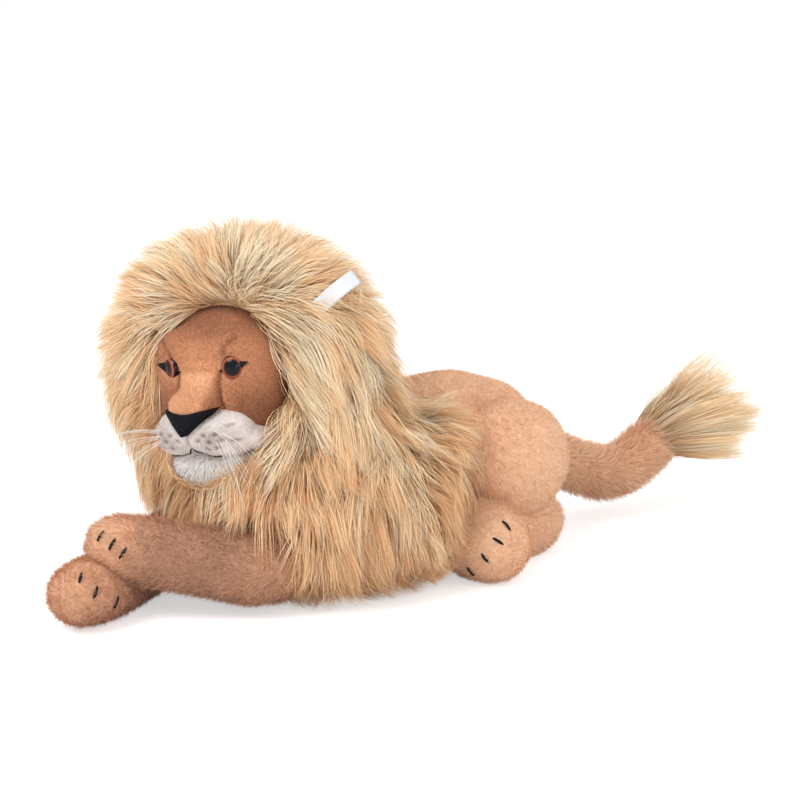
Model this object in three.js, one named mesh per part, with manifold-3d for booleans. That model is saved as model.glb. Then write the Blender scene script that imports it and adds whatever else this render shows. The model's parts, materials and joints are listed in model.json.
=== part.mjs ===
// Plush lion, lying with its forelegs crossed and its head turned: sewn skins over stuffing.
// Millimetres, +Z up. The lion looks towards -Y and its left side is +X.
// The origin is on the floor, in the flat face that the belly rests on.
import * as THREE from "three";
import { mergeVertices } from "three/addons/utils/BufferGeometryUtils.js";
import Module from "manifold-3d";

const wasm = await Module();
wasm.setup();

// Cloth, gaps and trimming
const seamGap = 0.3;
const turningGap = 0.6;
const clothWall = 2.5;
const floorCut = 0.5;
const trimBlock = 900;

// Torso, from the chest to the rump
const torsoLength = 230;
const torsoWidth = 104;
const torsoHeight = 118;
const chestReach = 108;
const torsoShares = [
  { width: 0.84, height: 0.72 },
  { width: 0.96, height: 0.9 },
  { width: 0.94, height: 0.93 },
  { width: 0.98, height: 1 },
  { width: 1, height: 1.04 },
  { width: 0.86, height: 0.92 },
];

// Neck joint: a bolt along an axis that leans forwards, through a disc on each side of the seam
const neckBehindFront = 33;
const neckBelowBack = 25;
const neckLean = 14.4;
const neckDiscRadius = 22;
const neckDiscWall = 3;
const boltRadius = 3;
const boltHeadRadius = 6;
const boltHeadWall = 3;
const lockNutRadius = 7;
const lockNutWall = 3;
const neckSides = 20;

// Head, in its own frame: origin in the middle of the skull, face towards -Y
const headTurn = 24;
const headRoll = 7.6;
const headAheadOfNeck = 20.5;
const headAboveNeck = 41;
const skullLength = 98;
const skullWidth = 96;
const skullHeight = 104;
const bridgeWidth = 34;
const bridgeHeight = 24;
const bridgeRouteShares = [
  { forward: 0.35, rise: 0.7 },
  { forward: 0.86, rise: 0.3 },
  { forward: 1.06, rise: -0.26 },
];
const bridgeSwellShares = [
  { width: 0.8, height: 0.7 },
  { width: 0.86, height: 1 },
  { width: 1.1, height: 1 },
];
const muzzlePadWidth = 35;
const muzzlePadHeight = 34;
const muzzlePadLength = 48;
const muzzlePadTurn = 8;
const muzzlePadShare = { across: 0.33, forward: 0.83, rise: -0.5 };
const chinWidth = 43;
const chinHeight = 29;
const chinLength = 40;
const chinShare = { forward: 0.79, rise: -0.82 };
const noseWidth = 35;
const noseHeight = 18;
const noseDepth = 12;
const noseRound = 3;
const noseLean = 28;
const noseBrowShare = 0.62;
const noseCheekShare = { across: 0.92, rise: 0.4 };
const noseTipShare = { across: 0.3, rise: -0.64 };
const noseSeatShare = { forward: 1.1, rise: -0.43 };
const mouthThread = 1.1;
const mouthDropShares = [
  { forward: 1.3, rise: -0.52 },
  { forward: 1.28, rise: -0.6 },
  { forward: 1.22, rise: -0.68 },
];
const mouthLipShares = [
  { across: 0, forward: 1.22, rise: -0.67 },
  { across: 0.28, forward: 1.2, rise: -0.76 },
  { across: 0.58, forward: 1.04, rise: -0.78 },
];
const earWidth = 38;
const earHeight = 38;
const earWall = 9;
const earTurn = 8;
const earMiddleShare = { across: 0.88, forward: 0.04, rise: 0.82 };

// Eyes: a dome on a shank, which passes a dark almond-shaped patch and holds a washer
const eyeDiameter = 14;
const eyeDome = 5.5;
const eyeShankRadius = 2.2;
const eyeShankLength = 13;
const eyeSides = 16;
const eyeSpacing = 48;
const eyeRise = 15;
const eyeSplay = 20;
const patchLength = 21;
const patchHeight = 10.5;
const patchWall = 0.8;
const washerRadius = 6.5;
const washerWall = 1.6;

// Whiskers: tapered threads from one knot on each side of the muzzle
const whiskerLength = 42;
const whiskerRadius = 0.35;
const whiskerKnot = 2.4;
const knotShare = { across: 0.58, forward: 1.06, rise: -0.44 };
const whiskerBowShare = { along: 0.55, rise: 0.05 };
const whiskerDroop = { left: 0.2, right: 0 };
const whiskerFan = [
  { swing: 0.66, rise: 0.14 },
  { swing: 0.78, rise: -0.05 },
  { swing: 0.66, rise: -0.24 },
  { swing: 0.78, rise: -0.44 },
  { swing: 0.66, rise: -0.63 },
];

// Tag: a bare ribbon sewn to the left ear
const tagWidth = 10;
const tagWall = 0.8;
const tagSteps = 8;
const tagRouteShares = [
  { across: 1.2, forward: 0.1, rise: 0.88 },
  { across: 1.58, forward: 0.34, rise: 0.95 },
  { across: 1.82, forward: 0.16, rise: 1.1 },
  { across: 1.98, forward: -0.18, rise: 1.27 },
];
const tagSlantShare = { across: -0.6, forward: -0.27, rise: 0.76 };

// Mane: one part sewn to the head, one to the chest and shoulders
const headManeWidth = 216;
const headManeHeight = 178;
const headManeLength = 124;
const headManeBack = 13;
const headManeRise = 8;
const headManeAside = 10;
const faceOpeningWidth = 122;
const faceOpeningHeight = 126;
const faceOpeningLength = 104;
const chestManeAhead = 38;
const chestManeFromRump = 80;
const chestManeWidth = 210;
const chestManeHeight = 150;

// Forelegs: routes run from the shoulder to the toes, as shares of the leg's reach
const forelegReach = 150;
const forelegWidth = 50;
const forelegHeight = 48;
const forelegLift = 10;
const forelegSpareLift = 0.5;
const shoulderHingeShare = 0.12;
const leftShoulderOut = 14;
const leftShoulderBehindFront = 16;
const leftShoulderHeight = 27;
const leftForelegShares = [
  { across: 0, forward: 0, rise: 0 },
  { across: -0.05, forward: 0.18, rise: 0.01 },
  { across: -0.16, forward: 0.4, rise: 0.05 },
  { across: -0.27, forward: 0.6, rise: 0.1 },
  { across: -0.37, forward: 0.8, rise: 0.125 },
];
const rightShoulderOut = -2;
const rightShoulderBehindFront = 12;
const rightShoulderHeight = 24;
const rightForelegShares = [
  { across: 0, forward: 0, rise: 0 },
  { across: 0.1, forward: 0.25, rise: -0.01 },
  { across: 0.28, forward: 0.52, rise: -0.03 },
  { across: 0.44, forward: 0.74, rise: -0.03 },
  { across: 0.58, forward: 0.96, rise: 0.01 },
];
const forelegSwellShares = [
  { width: 1, height: 1 },
  { width: 0.92, height: 0.92 },
  { width: 0.78, height: 0.8 },
  { width: 0.82, height: 0.84 },
  { width: 1.02, height: 1.04 },
];

// Hind legs: the left one is written here and the right one is its mirror
const haunchLength = 74;
const haunchWidth = 52;
const haunchHeight = 76;
const haunchOut = -2;
const haunchFromRump = 47;
const haunchMiddleHeight = 69;
const hockLength = 78;
const hockWidth = 40;
const hockHeight = 42;
const hockOut = -8;
const hockFromRump = 40;
const hockTurn = 18;
const hindFootLength = 62;
const hindFootWidth = 50;
const hindFootHeight = 52;
const hindFootOut = 21;
const hindFootFromRump = 86;
const hindFootTurn = 102;

// Claws: embroidered strokes on the toes
const clawLength = 9;
const clawRadius = 0.9;
const leftForeClawShares = [
  { along: 0.94, turn: 0.39, slant: 0.17 },
  { along: 0.885, turn: 0.435, slant: 0.18 },
  { along: 0.835, turn: 0.475, slant: 0.17 },
];
const rightForeClawShares = [
  { along: 0.965, turn: 0.34, slant: 0.1 },
  { along: 0.94, turn: 0.46, slant: 0.17 },
  { along: 0.84, turn: 0.53, slant: 0.2 },
];
const hindClawShares = [
  { along: 0.92, turn: 0.19, slant: 0 },
  { along: 0.93, turn: 0.08, slant: -0.03 },
  { along: 0.85, turn: -0.02, slant: -0.15 },
  { along: 0.66, turn: -0.09, slant: -0.2 },
];

// Tail: the base swings at the rump, the end bends on the base, the tuft closes it
const tailRootBehindRump = 3;
const tailRootRiseShare = 0.49;
const tailRootRadius = 14;
const tailReach = 100;
const tailDiameter = 32;
const tailSwing = 25;
const tailSpareSwing = 3;
const tailBendShare = 0.5;
const tailBendGap = 6.2;
const tailBendBallShare = 0.94;
const tailRootShare = 0.14;
const tailRouteShares = [
  { back: 0.2, rise: -0.09 },
  { back: 0.46, rise: -0.2 },
  { back: 0.72, rise: -0.26 },
  { back: 0.97, rise: -0.17 },
  { back: 1.2, rise: 0.02 },
];
const tailSwellShares = [
  { width: 0.86, height: 0.86 },
  { width: 0.92, height: 0.92 },
  { width: 1, height: 1 },
  { width: 1, height: 1 },
  { width: 1, height: 1 },
];
const tuftLength = 84;
const tuftWidth = 58;
const tuftPitch = -22;
const tuftBackShare = 1.5;
const tuftRiseShare = 0.1;
const tuftSwellShares = [
  { width: 0.6, height: 0.6 },
  { width: 0.9, height: 0.9 },
  { width: 1, height: 1 },
  { width: 0.9, height: 0.9 },
];

const cloth = (color, roughness = 0.95) => new THREE.MeshStandardMaterial({ color, roughness });
const materials = {
  tanPlush: cloth(0xe2b183),
  headPlush: cloth(0xc98d63),
  manePile: cloth(0xe3c291),
  whitePlush: cloth(0xe8e2dc),
  blackThread: cloth(0x23252b, 0.8),
  whiteRibbon: cloth(0xf2f0ec, 0.7),
  fill: cloth(0xf4f2ee, 1),
  amberEye: new THREE.MeshStandardMaterial({ color: 0x5a2c12, roughness: 0.12 }),
  blackPlastic: new THREE.MeshStandardMaterial({ color: 0x202020, roughness: 0.5 }),
  hardboard: new THREE.MeshStandardMaterial({ color: 0x8a6a48, roughness: 0.85 }),
  steel: new THREE.MeshStandardMaterial({ color: 0xb8babd, roughness: 0.35, metalness: 1 }),
  nylon: new THREE.MeshStandardMaterial({ color: 0xf7f7f5, roughness: 0.4 }),
};

const unitUp = new THREE.Vector3(0, 0, 1);
const degrees = THREE.MathUtils.degToRad;

// A value read along a list of evenly spaced shares, with a smooth line between them.
function shareAt(shares, key, along) {
  const place = along * (shares.length - 1);
  const low = Math.min(Math.floor(place), shares.length - 2);
  const part = place - low;
  const eased = part * part * (3 - 2 * part);
  return shares[low][key] * (1 - eased) + shares[low + 1][key] * eased;
}

// A stuffed form swept along a route. Its sections are ellipses whose width and height swell and
// taper, and its ends close round: fullness 2 is an egg's end, 4 a bolster's. The section's corners
// fill out likewise.
class StuffedForm {
  constructor({ route, width, height, shares, fullness = 2.6, corners = 2, rings = 9, sides = 12 }) {
    this.curve = new THREE.CatmullRomCurve3(route, false, "centripetal");
    Object.assign(this, { width, height, shares, fullness, corners, rings, sides });
  }

  // A point of the form's surface. The angle is 0 at its +side, and 90 on top.
  pointAt(along, angle) {
    const tangent = this.curve.getTangentAt(along);
    const across = new THREE.Vector3().crossVectors(tangent, unitUp).normalize();
    const upwards = new THREE.Vector3().crossVectors(across, tangent);
    const fromMiddle = Math.abs(2 * along - 1);
    const closing = (1 - fromMiddle ** this.fullness) ** (1 / this.fullness);
    const halfWidth = (this.width / 2) * shareAt(this.shares, "width", along) * closing;
    const halfHeight = (this.height / 2) * shareAt(this.shares, "height", along) * closing;
    return this.curve
      .getPointAt(along)
      .addScaledVector(across, halfWidth * this.filledOut(Math.cos(angle)))
      .addScaledVector(upwards, halfHeight * this.filledOut(Math.sin(angle)));
  }

  filledOut(share) {
    return Math.sign(share) * Math.abs(share) ** (2 / this.corners);
  }

  geometry() {
    const { rings, sides } = this;
    const positions = [...this.pointAt(0, 0)];
    for (let ring = 1; ring < rings; ring += 1) {
      const along = (1 - Math.cos((Math.PI * ring) / rings)) / 2;
      for (let side = 0; side < sides; side += 1) {
        positions.push(...this.pointAt(along, (2 * Math.PI * side) / sides));
      }
    }
    positions.push(...this.pointAt(1, 0));
    const last = positions.length / 3 - 1;
    const corner = (ring, side) => 1 + (ring - 1) * sides + (side % sides);
    const index = [];
    for (let side = 0; side < sides; side += 1) {
      index.push(0, corner(1, side), corner(1, side + 1));
      index.push(last, corner(rings - 1, side + 1), corner(rings - 1, side));
      for (let ring = 1; ring < rings - 1; ring += 1) {
        const low = corner(ring, side);
        const lowNext = corner(ring, side + 1);
        const high = corner(ring + 1, side);
        const highNext = corner(ring + 1, side + 1);
        index.push(low, high, highNext, low, highNext, lowNext);
      }
    }
    const geometry = new THREE.BufferGeometry();
    geometry.setAttribute("position", new THREE.Float32BufferAttribute(positions, 3));
    geometry.setIndex(index);
    return geometry;
  }

  solid() {
    return solidOf(this.geometry());
  }

  // The form made larger all round, or smaller where the distance is negative.
  grown(distance) {
    const geometry = this.geometry();
    geometry.computeVertexNormals();
    const { position, normal } = geometry.attributes;
    for (let i = 0; i < position.count; i += 1) {
      const moved = new THREE.Vector3().fromBufferAttribute(position, i);
      moved.addScaledVector(new THREE.Vector3().fromBufferAttribute(normal, i), distance);
      position.setXYZ(i, ...moved);
    }
    return solidOf(geometry);
  }
}

// A straight form whose middle is at a place, turned about +Z from the -Y direction.
function roundForm({ middle, length, width, height, turn = 0, pitch = 0, ...options }) {
  const half = new THREE.Vector3(0, -length / 2, 0);
  half.applyAxisAngle(new THREE.Vector3(-1, 0, 0), degrees(pitch));
  half.applyAxisAngle(unitUp, degrees(turn));
  const route = [-1, 0, 1].map((share) => middle.clone().addScaledVector(half, share));
  const shares = options.shares ?? [
    { width: 1, height: 1 },
    { width: 1, height: 1 },
  ];
  return new StuffedForm({ route, width, height, fullness: 2, ...options, shares });
}

function solidOf(geometry) {
  const plain = geometry.clone();
  plain.deleteAttribute("normal");
  plain.deleteAttribute("uv");
  const merged = mergeVertices(plain);
  return new wasm.Manifold(
    new wasm.Mesh({
      numProp: 3,
      vertProperties: merged.attributes.position.array,
      triVerts: new Uint32Array(merged.index.array),
    }),
  );
}

function pieceFrom(name, solid, material) {
  const { vertProperties, triVerts } = solid.getMesh();
  const geometry = new THREE.BufferGeometry();
  geometry.setAttribute("position", new THREE.BufferAttribute(vertProperties, 3));
  geometry.setIndex(new THREE.BufferAttribute(triVerts, 1));
  geometry.computeVertexNormals();
  const mesh = new THREE.Mesh(geometry, material);
  mesh.name = name;
  return mesh;
}

const cut = (solid, ...tools) => tools.reduce((rest, tool) => rest.subtract(tool), solid);
const join = (first, ...others) => others.reduce((whole, other) => whole.add(other), first);

// Leaves only the largest body of a solid, so that slivers of a cut are dropped.
function mainBody(solid) {
  return solid.decompose().reduce((best, body) => (body.volume() > best.volume() ? body : best));
}

const pieceOf = (name, solid, material) => pieceFrom(name, mainBody(solid), material);

// A block that fills one side of a plane through a place: the side that the normal points to.
function blockBeyond(place, normal) {
  const block = new THREE.BoxGeometry(trimBlock, trimBlock, trimBlock);
  block.translate(0, 0, trimBlock / 2);
  const turn = new THREE.Quaternion().setFromUnitVectors(unitUp, normal.clone().normalize());
  block.applyMatrix4(new THREE.Matrix4().makeRotationFromQuaternion(turn));
  return block.translate(...place);
}

// A profile of radii and heights, turned about +Z
function turned(points, sides) {
  const profile = points.map(([radius, height]) => new THREE.Vector2(radius, height));
  return new THREE.LatheGeometry(profile, sides).rotateX(Math.PI / 2);
}

function ring(bore, radius, low, high, sides) {
  const corners = [[bore, low], [radius, low], [radius, high], [bore, high], [bore, low]];
  return turned(corners, sides);
}

const plugPoints = (radius, low, high) => [[0, low], [radius, low], [radius, high], [0, high]];

const below = (height) =>
  solidOf(blockBeyond(new THREE.Vector3(0, 0, height), unitUp.clone().negate()));
const belowFloor = below(0);

// Frames of the neck and of the head
const neckAxis = new THREE.Vector3(0, -Math.sin(degrees(neckLean)), Math.cos(degrees(neckLean)));
const neckPlace = new THREE.Vector3(0, neckBehindFront - chestReach, torsoHeight - neckBelowBack);
const neckGroup = new THREE.Group();
neckGroup.position.copy(neckPlace);
neckGroup.quaternion.setFromUnitVectors(unitUp, neckAxis);
neckGroup.updateMatrixWorld();

const headGroup = new THREE.Group();
headGroup.position.copy(neckPlace).add(new THREE.Vector3(0, -headAheadOfNeck, headAboveNeck));
headGroup.rotation.set(0, degrees(-headRoll), degrees(headTurn), "ZYX");
headGroup.updateMatrixWorld();
const intoHead = headGroup.matrixWorld.clone().invert();

// The side of the neck seam that is away from the head, with a share of the seam's gap
const besideNeck = (offset) => neckPlace.clone().addScaledVector(neckAxis, offset);
const aboveSeam = (offset) => blockBeyond(besideNeck(offset), neckAxis);
const belowSeam = (offset) => blockBeyond(besideNeck(offset), neckAxis.clone().negate());

const boltBore = boltRadius + seamGap;
const headDiscLow = seamGap / 2;
const headDiscHigh = headDiscLow + neckDiscWall;
const bodyDiscHigh = -seamGap / 2;
const bodyDiscLow = bodyDiscHigh - neckDiscWall;
const lockNutHigh = bodyDiscLow - seamGap;
const lockNutLow = lockNutHigh - lockNutWall;
const boltHeadLow = headDiscHigh + seamGap;
const boltHeadHigh = boltHeadLow + boltHeadWall;

function neckPieces() {
  const boltPoints = [
    [0, lockNutLow],
    [boltRadius, lockNutLow],
    [boltRadius, boltHeadLow],
    [boltHeadRadius, boltHeadLow],
    [boltHeadRadius, boltHeadHigh],
    [0, boltHeadHigh],
  ];
  const bolt = turned(boltPoints, neckSides);
  const headDisc = ring(boltBore, neckDiscRadius, headDiscLow, headDiscHigh, neckSides);
  const bodyDisc = ring(boltBore, neckDiscRadius, bodyDiscLow, bodyDiscHigh, neckSides);
  const lockNut = ring(boltBore, lockNutRadius, lockNutLow, lockNutHigh, neckSides);
  neckGroup.add(
    pieceFrom("neck_bolt", solidOf(bolt), materials.steel),
    pieceFrom("neck_disc_head", solidOf(headDisc), materials.hardboard),
    pieceFrom("neck_disc_body", solidOf(bodyDisc), materials.hardboard),
    pieceFrom("neck_lock_nut", solidOf(lockNut), materials.steel),
  );
}

// The space that the neck's hardware takes, in the torso's frame
const neckPlug = (low, high, radius) =>
  turned(plugPoints(radius, low, high), neckSides).applyMatrix4(neckGroup.matrixWorld);

// Torso
const torsoRoute = torsoShares.map((share, place) => {
  const along = place / (torsoShares.length - 1);
  const middle = (torsoHeight / 2) * share.height - floorCut;
  return new THREE.Vector3(0, torsoLength * along - chestReach, middle);
});
const torso = new StuffedForm({
  route: torsoRoute,
  width: torsoWidth,
  height: torsoHeight,
  shares: torsoShares,
  fullness: 3,
  rings: 9,
  sides: 16,
});

const neckHole = solidOf(neckPlug(-neckDiscRadius, trimBlock / 2, neckDiscRadius + seamGap));

function torsoPieces(tailSocket) {
  const hull = cut(torso.solid(), belowFloor, solidOf(aboveSeam(-seamGap / 2)));
  const socketWall = join(...tailSocket.map((part) => part(clothWall)));
  const hollowTop = solidOf(aboveSeam(-clothWall));
  const hollow = cut(torso.grown(-clothWall), below(clothWall), hollowTop, socketWall);
  const skin = cut(hull, hollow, neckHole, ...tailSocket.map((part) => part(0)));
  const fillTop = solidOf(aboveSeam(-clothWall - seamGap));
  const fillEdge = clothWall + seamGap;
  const hardware = solidOf(neckPlug(lockNutLow - seamGap, trimBlock / 2, neckDiscRadius + seamGap));
  const socketEdge = join(...tailSocket.map((part) => part(fillEdge)));
  const fill = cut(torso.grown(-fillEdge), below(fillEdge), fillTop, hardware, socketEdge);
  return [
    pieceOf("torso_skin", skin, materials.tanPlush),
    pieceOf("torso_stuffing", fill, materials.fill),
  ];
}

// Head: everything is in the skull's frame
const skull = roundForm({
  middle: new THREE.Vector3(),
  length: skullLength,
  width: skullWidth,
  height: skullHeight,
  fullness: 2.4,
  rings: 8,
  sides: 14,
});

// A place in the head, as shares of half the skull's width, length and height
const skullPlace = ({ across = 0, forward, rise }, side = 1) =>
  new THREE.Vector3(side * across * skullWidth, -forward * skullLength, rise * skullHeight).divideScalar(2);

const bridge = new StuffedForm({
  route: bridgeRouteShares.map((share) => skullPlace(share)),
  width: bridgeWidth,
  height: bridgeHeight,
  shares: bridgeSwellShares,
  fullness: 3,
  rings: 7,
  sides: 12,
});
const muzzlePad = (side) =>
  roundForm({
    middle: skullPlace(muzzlePadShare, side),
    length: muzzlePadLength,
    width: muzzlePadWidth,
    height: muzzlePadHeight,
    turn: -muzzlePadTurn * side,
    fullness: 2.4,
    rings: 7,
    sides: 12,
  });
const chin = roundForm({
  middle: skullPlace(chinShare),
  length: chinLength,
  width: chinWidth,
  height: chinHeight,
  rings: 7,
  sides: 12,
});

// The nose pad: a rounded triangle, point down, that lies on the muzzle's front
function noseGeometry(grow = 0) {
  const half = noseWidth / 2;
  const top = noseHeight / 2;
  const cheek = { across: half * noseCheekShare.across, rise: top * noseCheekShare.rise };
  const tip = { across: half * noseTipShare.across, rise: top * noseTipShare.rise };
  const shape = new THREE.Shape();
  shape.moveTo(-half * noseBrowShare, top);
  shape.lineTo(half * noseBrowShare, top);
  shape.quadraticCurveTo(half, top, cheek.across, cheek.rise);
  shape.quadraticCurveTo(tip.across, tip.rise, 0, -top);
  shape.quadraticCurveTo(-tip.across, tip.rise, -cheek.across, cheek.rise);
  shape.quadraticCurveTo(-half, top, -half * noseBrowShare, top);
  const pad = new THREE.ExtrudeGeometry(shape, {
    depth: noseDepth,
    curveSegments: 4,
    bevelThickness: noseRound + grow,
    bevelSize: noseRound,
    bevelOffset: grow - noseRound,
    bevelSegments: 1,
  });
  pad.rotateX(Math.PI / 2 - degrees(noseLean));
  return pad.translate(...skullPlace(noseSeatShare));
}

// A thread sewn along a route, as a thin tube
function threadAlong(route, radius, steps) {
  const section = new THREE.Shape().absarc(0, 0, radius, 0, 2 * Math.PI);
  const path = new THREE.CatmullRomCurve3(route);
  return new THREE.ExtrudeGeometry(section, { steps, extrudePath: path, curveSegments: 2 });
}

function mouthGeometry() {
  const drop = mouthDropShares.map((share) => skullPlace(share));
  const lip = (side) => mouthLipShares.map((share) => skullPlace(share, side));
  return [drop, lip(1), lip(-1)].map((route) => solidOf(threadAlong(route, mouthThread, 5)));
}

// Eye frame: the dome looks out of the face along its own +Z
function eyeFrame(side) {
  const seat = frontOf(skull, (eyeSpacing / 2) * side, eyeRise);
  const outward = new THREE.Vector3(0, -1, 0).applyAxisAngle(unitUp, degrees(eyeSplay * side));
  const frame = new THREE.Object3D();
  frame.position.copy(seat);
  frame.up.copy(unitUp);
  frame.lookAt(seat.clone().add(outward));
  frame.updateMatrix();
  return frame.matrix;
}

// The place on a straight form's front where a line along -Y at a side and height meets it
function frontOf(form, across, rise) {
  let low = 0.5;
  let high = 1;
  for (let step = 0; step < 24; step += 1) {
    const middle = (low + high) / 2;
    const closing = (1 - (2 * middle - 1) ** form.fullness) ** (1 / form.fullness);
    const reach = Math.hypot((2 * across) / form.width, (2 * rise) / form.height);
    if (reach < closing) low = middle;
    else high = middle;
  }
  return new THREE.Vector3(across, form.curve.getPointAt(low).y, rise);
}

function eyeGeometry(grow = 0) {
  const radius = eyeDiameter / 2 + grow;
  const shank = eyeShankRadius + grow;
  const foot = -eyeShankLength - grow;
  const rows = 4;
  const dome = Array.from({ length: rows }, (_, row) => {
    const angle = ((Math.PI / 2) * row) / rows;
    return [radius * Math.cos(angle), (eyeDome + grow) * Math.sin(angle)];
  });
  const stem = [[0, foot], [shank, foot], [shank, -grow], [radius, -grow]];
  return turned([...stem, ...dome, [0, eyeDome + grow]], eyeSides);
}

// An almond plate behind the eye: two arcs that meet in the eye's dark corners
function patchGeometry(grow = 0) {
  const half = patchLength / 2 + grow;
  const rise = patchHeight + grow;
  const shape = new THREE.Shape();
  shape.moveTo(-half, 0);
  shape.quadraticCurveTo(0, rise, half, 0);
  shape.quadraticCurveTo(0, -rise, -half, 0);
  const depth = patchWall + 2 * grow;
  const plate = new THREE.ExtrudeGeometry(shape, { depth, bevelEnabled: false, curveSegments: 5 });
  return plate.translate(0, 0, -patchWall - seamGap - grow);
}

const shankBore = eyeShankRadius + seamGap;
const washerTop = -2 * clothWall - patchWall;
const washerFoot = washerTop - washerWall;
const washerGeometry = () => ring(shankBore, washerRadius, washerFoot, washerTop, eyeSides);
const roomBelow = (radius, foot, top) => turned(plugPoints(radius, foot, top), eyeSides);
const washerRoom = () => roomBelow(washerRadius + seamGap, washerFoot - seamGap, washerTop + seamGap);
const shankRoom = () => roomBelow(shankBore, -eyeShankLength, eyeDome);

// Ears: flat pads of plush on the sides of the skull, inside the mane
function earForm(side) {
  return roundForm({
    middle: skullPlace(earMiddleShare, side),
    length: earWall,
    width: earWidth,
    height: earHeight,
    turn: earTurn * side,
    fullness: 2.6,
    rings: 5,
    sides: 12,
  });
}

// The ribbon leaves the left ear's edge, comes out of the mane and lies back along it
function tagGeometry(grow = 0) {
  const route = tagRouteShares.map((share) => skullPlace(share));
  const curve = new THREE.CatmullRomCurve3(route);
  const widthWay = new THREE.Vector3(tagSlantShare.across, tagSlantShare.forward, tagSlantShare.rise);
  const halfWidth = tagWidth / 2 + grow;
  const halfWall = tagWall / 2 + grow;
  const positions = [];
  for (let step = 0; step <= tagSteps; step += 1) {
    const along = curve.getTangentAt(step / tagSteps);
    const face = new THREE.Vector3().crossVectors(along, widthWay).normalize();
    const edge = new THREE.Vector3().crossVectors(face, along);
    const overrun = step === 0 ? -grow : (step === tagSteps) * grow;
    const middle = curve.getPointAt(step / tagSteps).addScaledVector(along, overrun);
    for (const [toEdge, toFace] of [[1, 1], [-1, 1], [-1, -1], [1, -1]]) {
      const corner = middle.clone().addScaledVector(edge, halfWidth * toEdge);
      positions.push(...corner.addScaledVector(face, halfWall * toFace));
    }
  }
  const index = [0, 2, 1, 0, 3, 2];
  const last = 4 * tagSteps;
  index.push(last, last + 1, last + 2, last, last + 2, last + 3);
  for (let step = 0; step < tagSteps; step += 1) {
    for (let side = 0; side < 4; side += 1) {
      const here = 4 * step + side;
      const next = 4 * step + ((side + 1) % 4);
      index.push(here, next + 4, here + 4, here, next, next + 4);
    }
  }
  const geometry = new THREE.BufferGeometry();
  geometry.setAttribute("position", new THREE.Float32BufferAttribute(positions, 3));
  return geometry.setIndex(index);
}

// Whiskers: bowed threads that fan out of one knot, which is sunk in the muzzle pad
function knotSolid(side, grow = 0) {
  const knot = new THREE.SphereGeometry(whiskerKnot + grow, 8, 5);
  return solidOf(knot.translate(...skullPlace(knotShare, side)));
}

function whiskerSolid(side, droop) {
  const root = skullPlace(knotShare, side);
  const threads = whiskerFan.map(({ swing, rise }) => {
    const lift = rise - droop;
    const out = new THREE.Vector3(side * Math.cos(swing), -Math.sin(swing), Math.sin(lift));
    const tip = root.clone().addScaledVector(out, whiskerLength);
    const bow = root.clone().lerp(tip, whiskerBowShare.along);
    bow.addScaledVector(unitUp, whiskerLength * whiskerBowShare.rise);
    return solidOf(threadAlong([root, bow, tip], whiskerRadius, 4));
  });
  return join(knotSolid(side), ...threads);
}

// Mane on the head: an upright ring of long pile round the face
const headMane = roundForm({
  middle: new THREE.Vector3(-headManeAside, headManeBack, headManeRise),
  length: headManeLength,
  width: headManeWidth,
  height: headManeHeight,
  fullness: 2.1,
  corners: 2.2,
  rings: 8,
  sides: 16,
});
const faceOpening = roundForm({
  middle: new THREE.Vector3(0, headManeBack - headManeLength / 2, 0),
  length: faceOpeningLength,
  width: faceOpeningWidth,
  height: faceOpeningHeight,
  rings: 8,
  sides: 12,
});

// The rooms of the head's hardware, which its cloth, fill and mane leave free
const inHead = (geometry) => solidOf(geometry.applyMatrix4(intoHead));
const headSeam = inHead(belowSeam(seamGap / 2));
const headDiscRoom = inHead(
  neckPlug(-neckDiscRadius, headDiscHigh + seamGap, neckDiscRadius + seamGap),
);
const boltRoom = inHead(neckPlug(0, boltHeadHigh + seamGap, boltHeadRadius + seamGap));
const faceRoom = join(skull.grown(seamGap), bridge.grown(seamGap));
const padRooms = { left: muzzlePad(1).grown(seamGap), right: muzzlePad(-1).grown(seamGap) };
const bothPads = [padRooms.left, padRooms.right];
const atEye = (side, geometry) => solidOf(geometry.applyMatrix4(eyeFrame(side)));
const eyeRooms = [1, -1].flatMap((side) => [
  atEye(side, eyeGeometry(seamGap)),
  atEye(side, patchGeometry(seamGap)),
]);

function eyePieces(name, side) {
  const patch = cut(atEye(side, patchGeometry()), atEye(side, shankRoom()));
  return [
    pieceOf(`${name}_eye`, atEye(side, eyeGeometry()), materials.amberEye),
    pieceOf(`${name}_eye_patch`, patch, materials.blackThread),
    pieceOf(`${name}_eye_washer`, atEye(side, washerGeometry()), materials.blackPlastic),
  ];
}

function skullPieces() {
  const face = join(skull.solid(), bridge.solid());
  const hollow = cut(skull.grown(-clothWall), inHead(belowSeam(0)));
  const washerRooms = [1, -1].map((side) => atEye(side, washerRoom()));
  const skin = cut(face, hollow, headSeam, headDiscRoom, ...washerRooms, ...eyeRooms);
  const hardware = [headSeam, headDiscRoom, boltRoom, ...washerRooms, ...eyeRooms];
  const fill = cut(skull.grown(-clothWall - seamGap), ...hardware);
  return [
    pieceOf("head_skin", skin, materials.headPlush),
    pieceOf("head_stuffing", fill, materials.fill),
  ];
}

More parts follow.
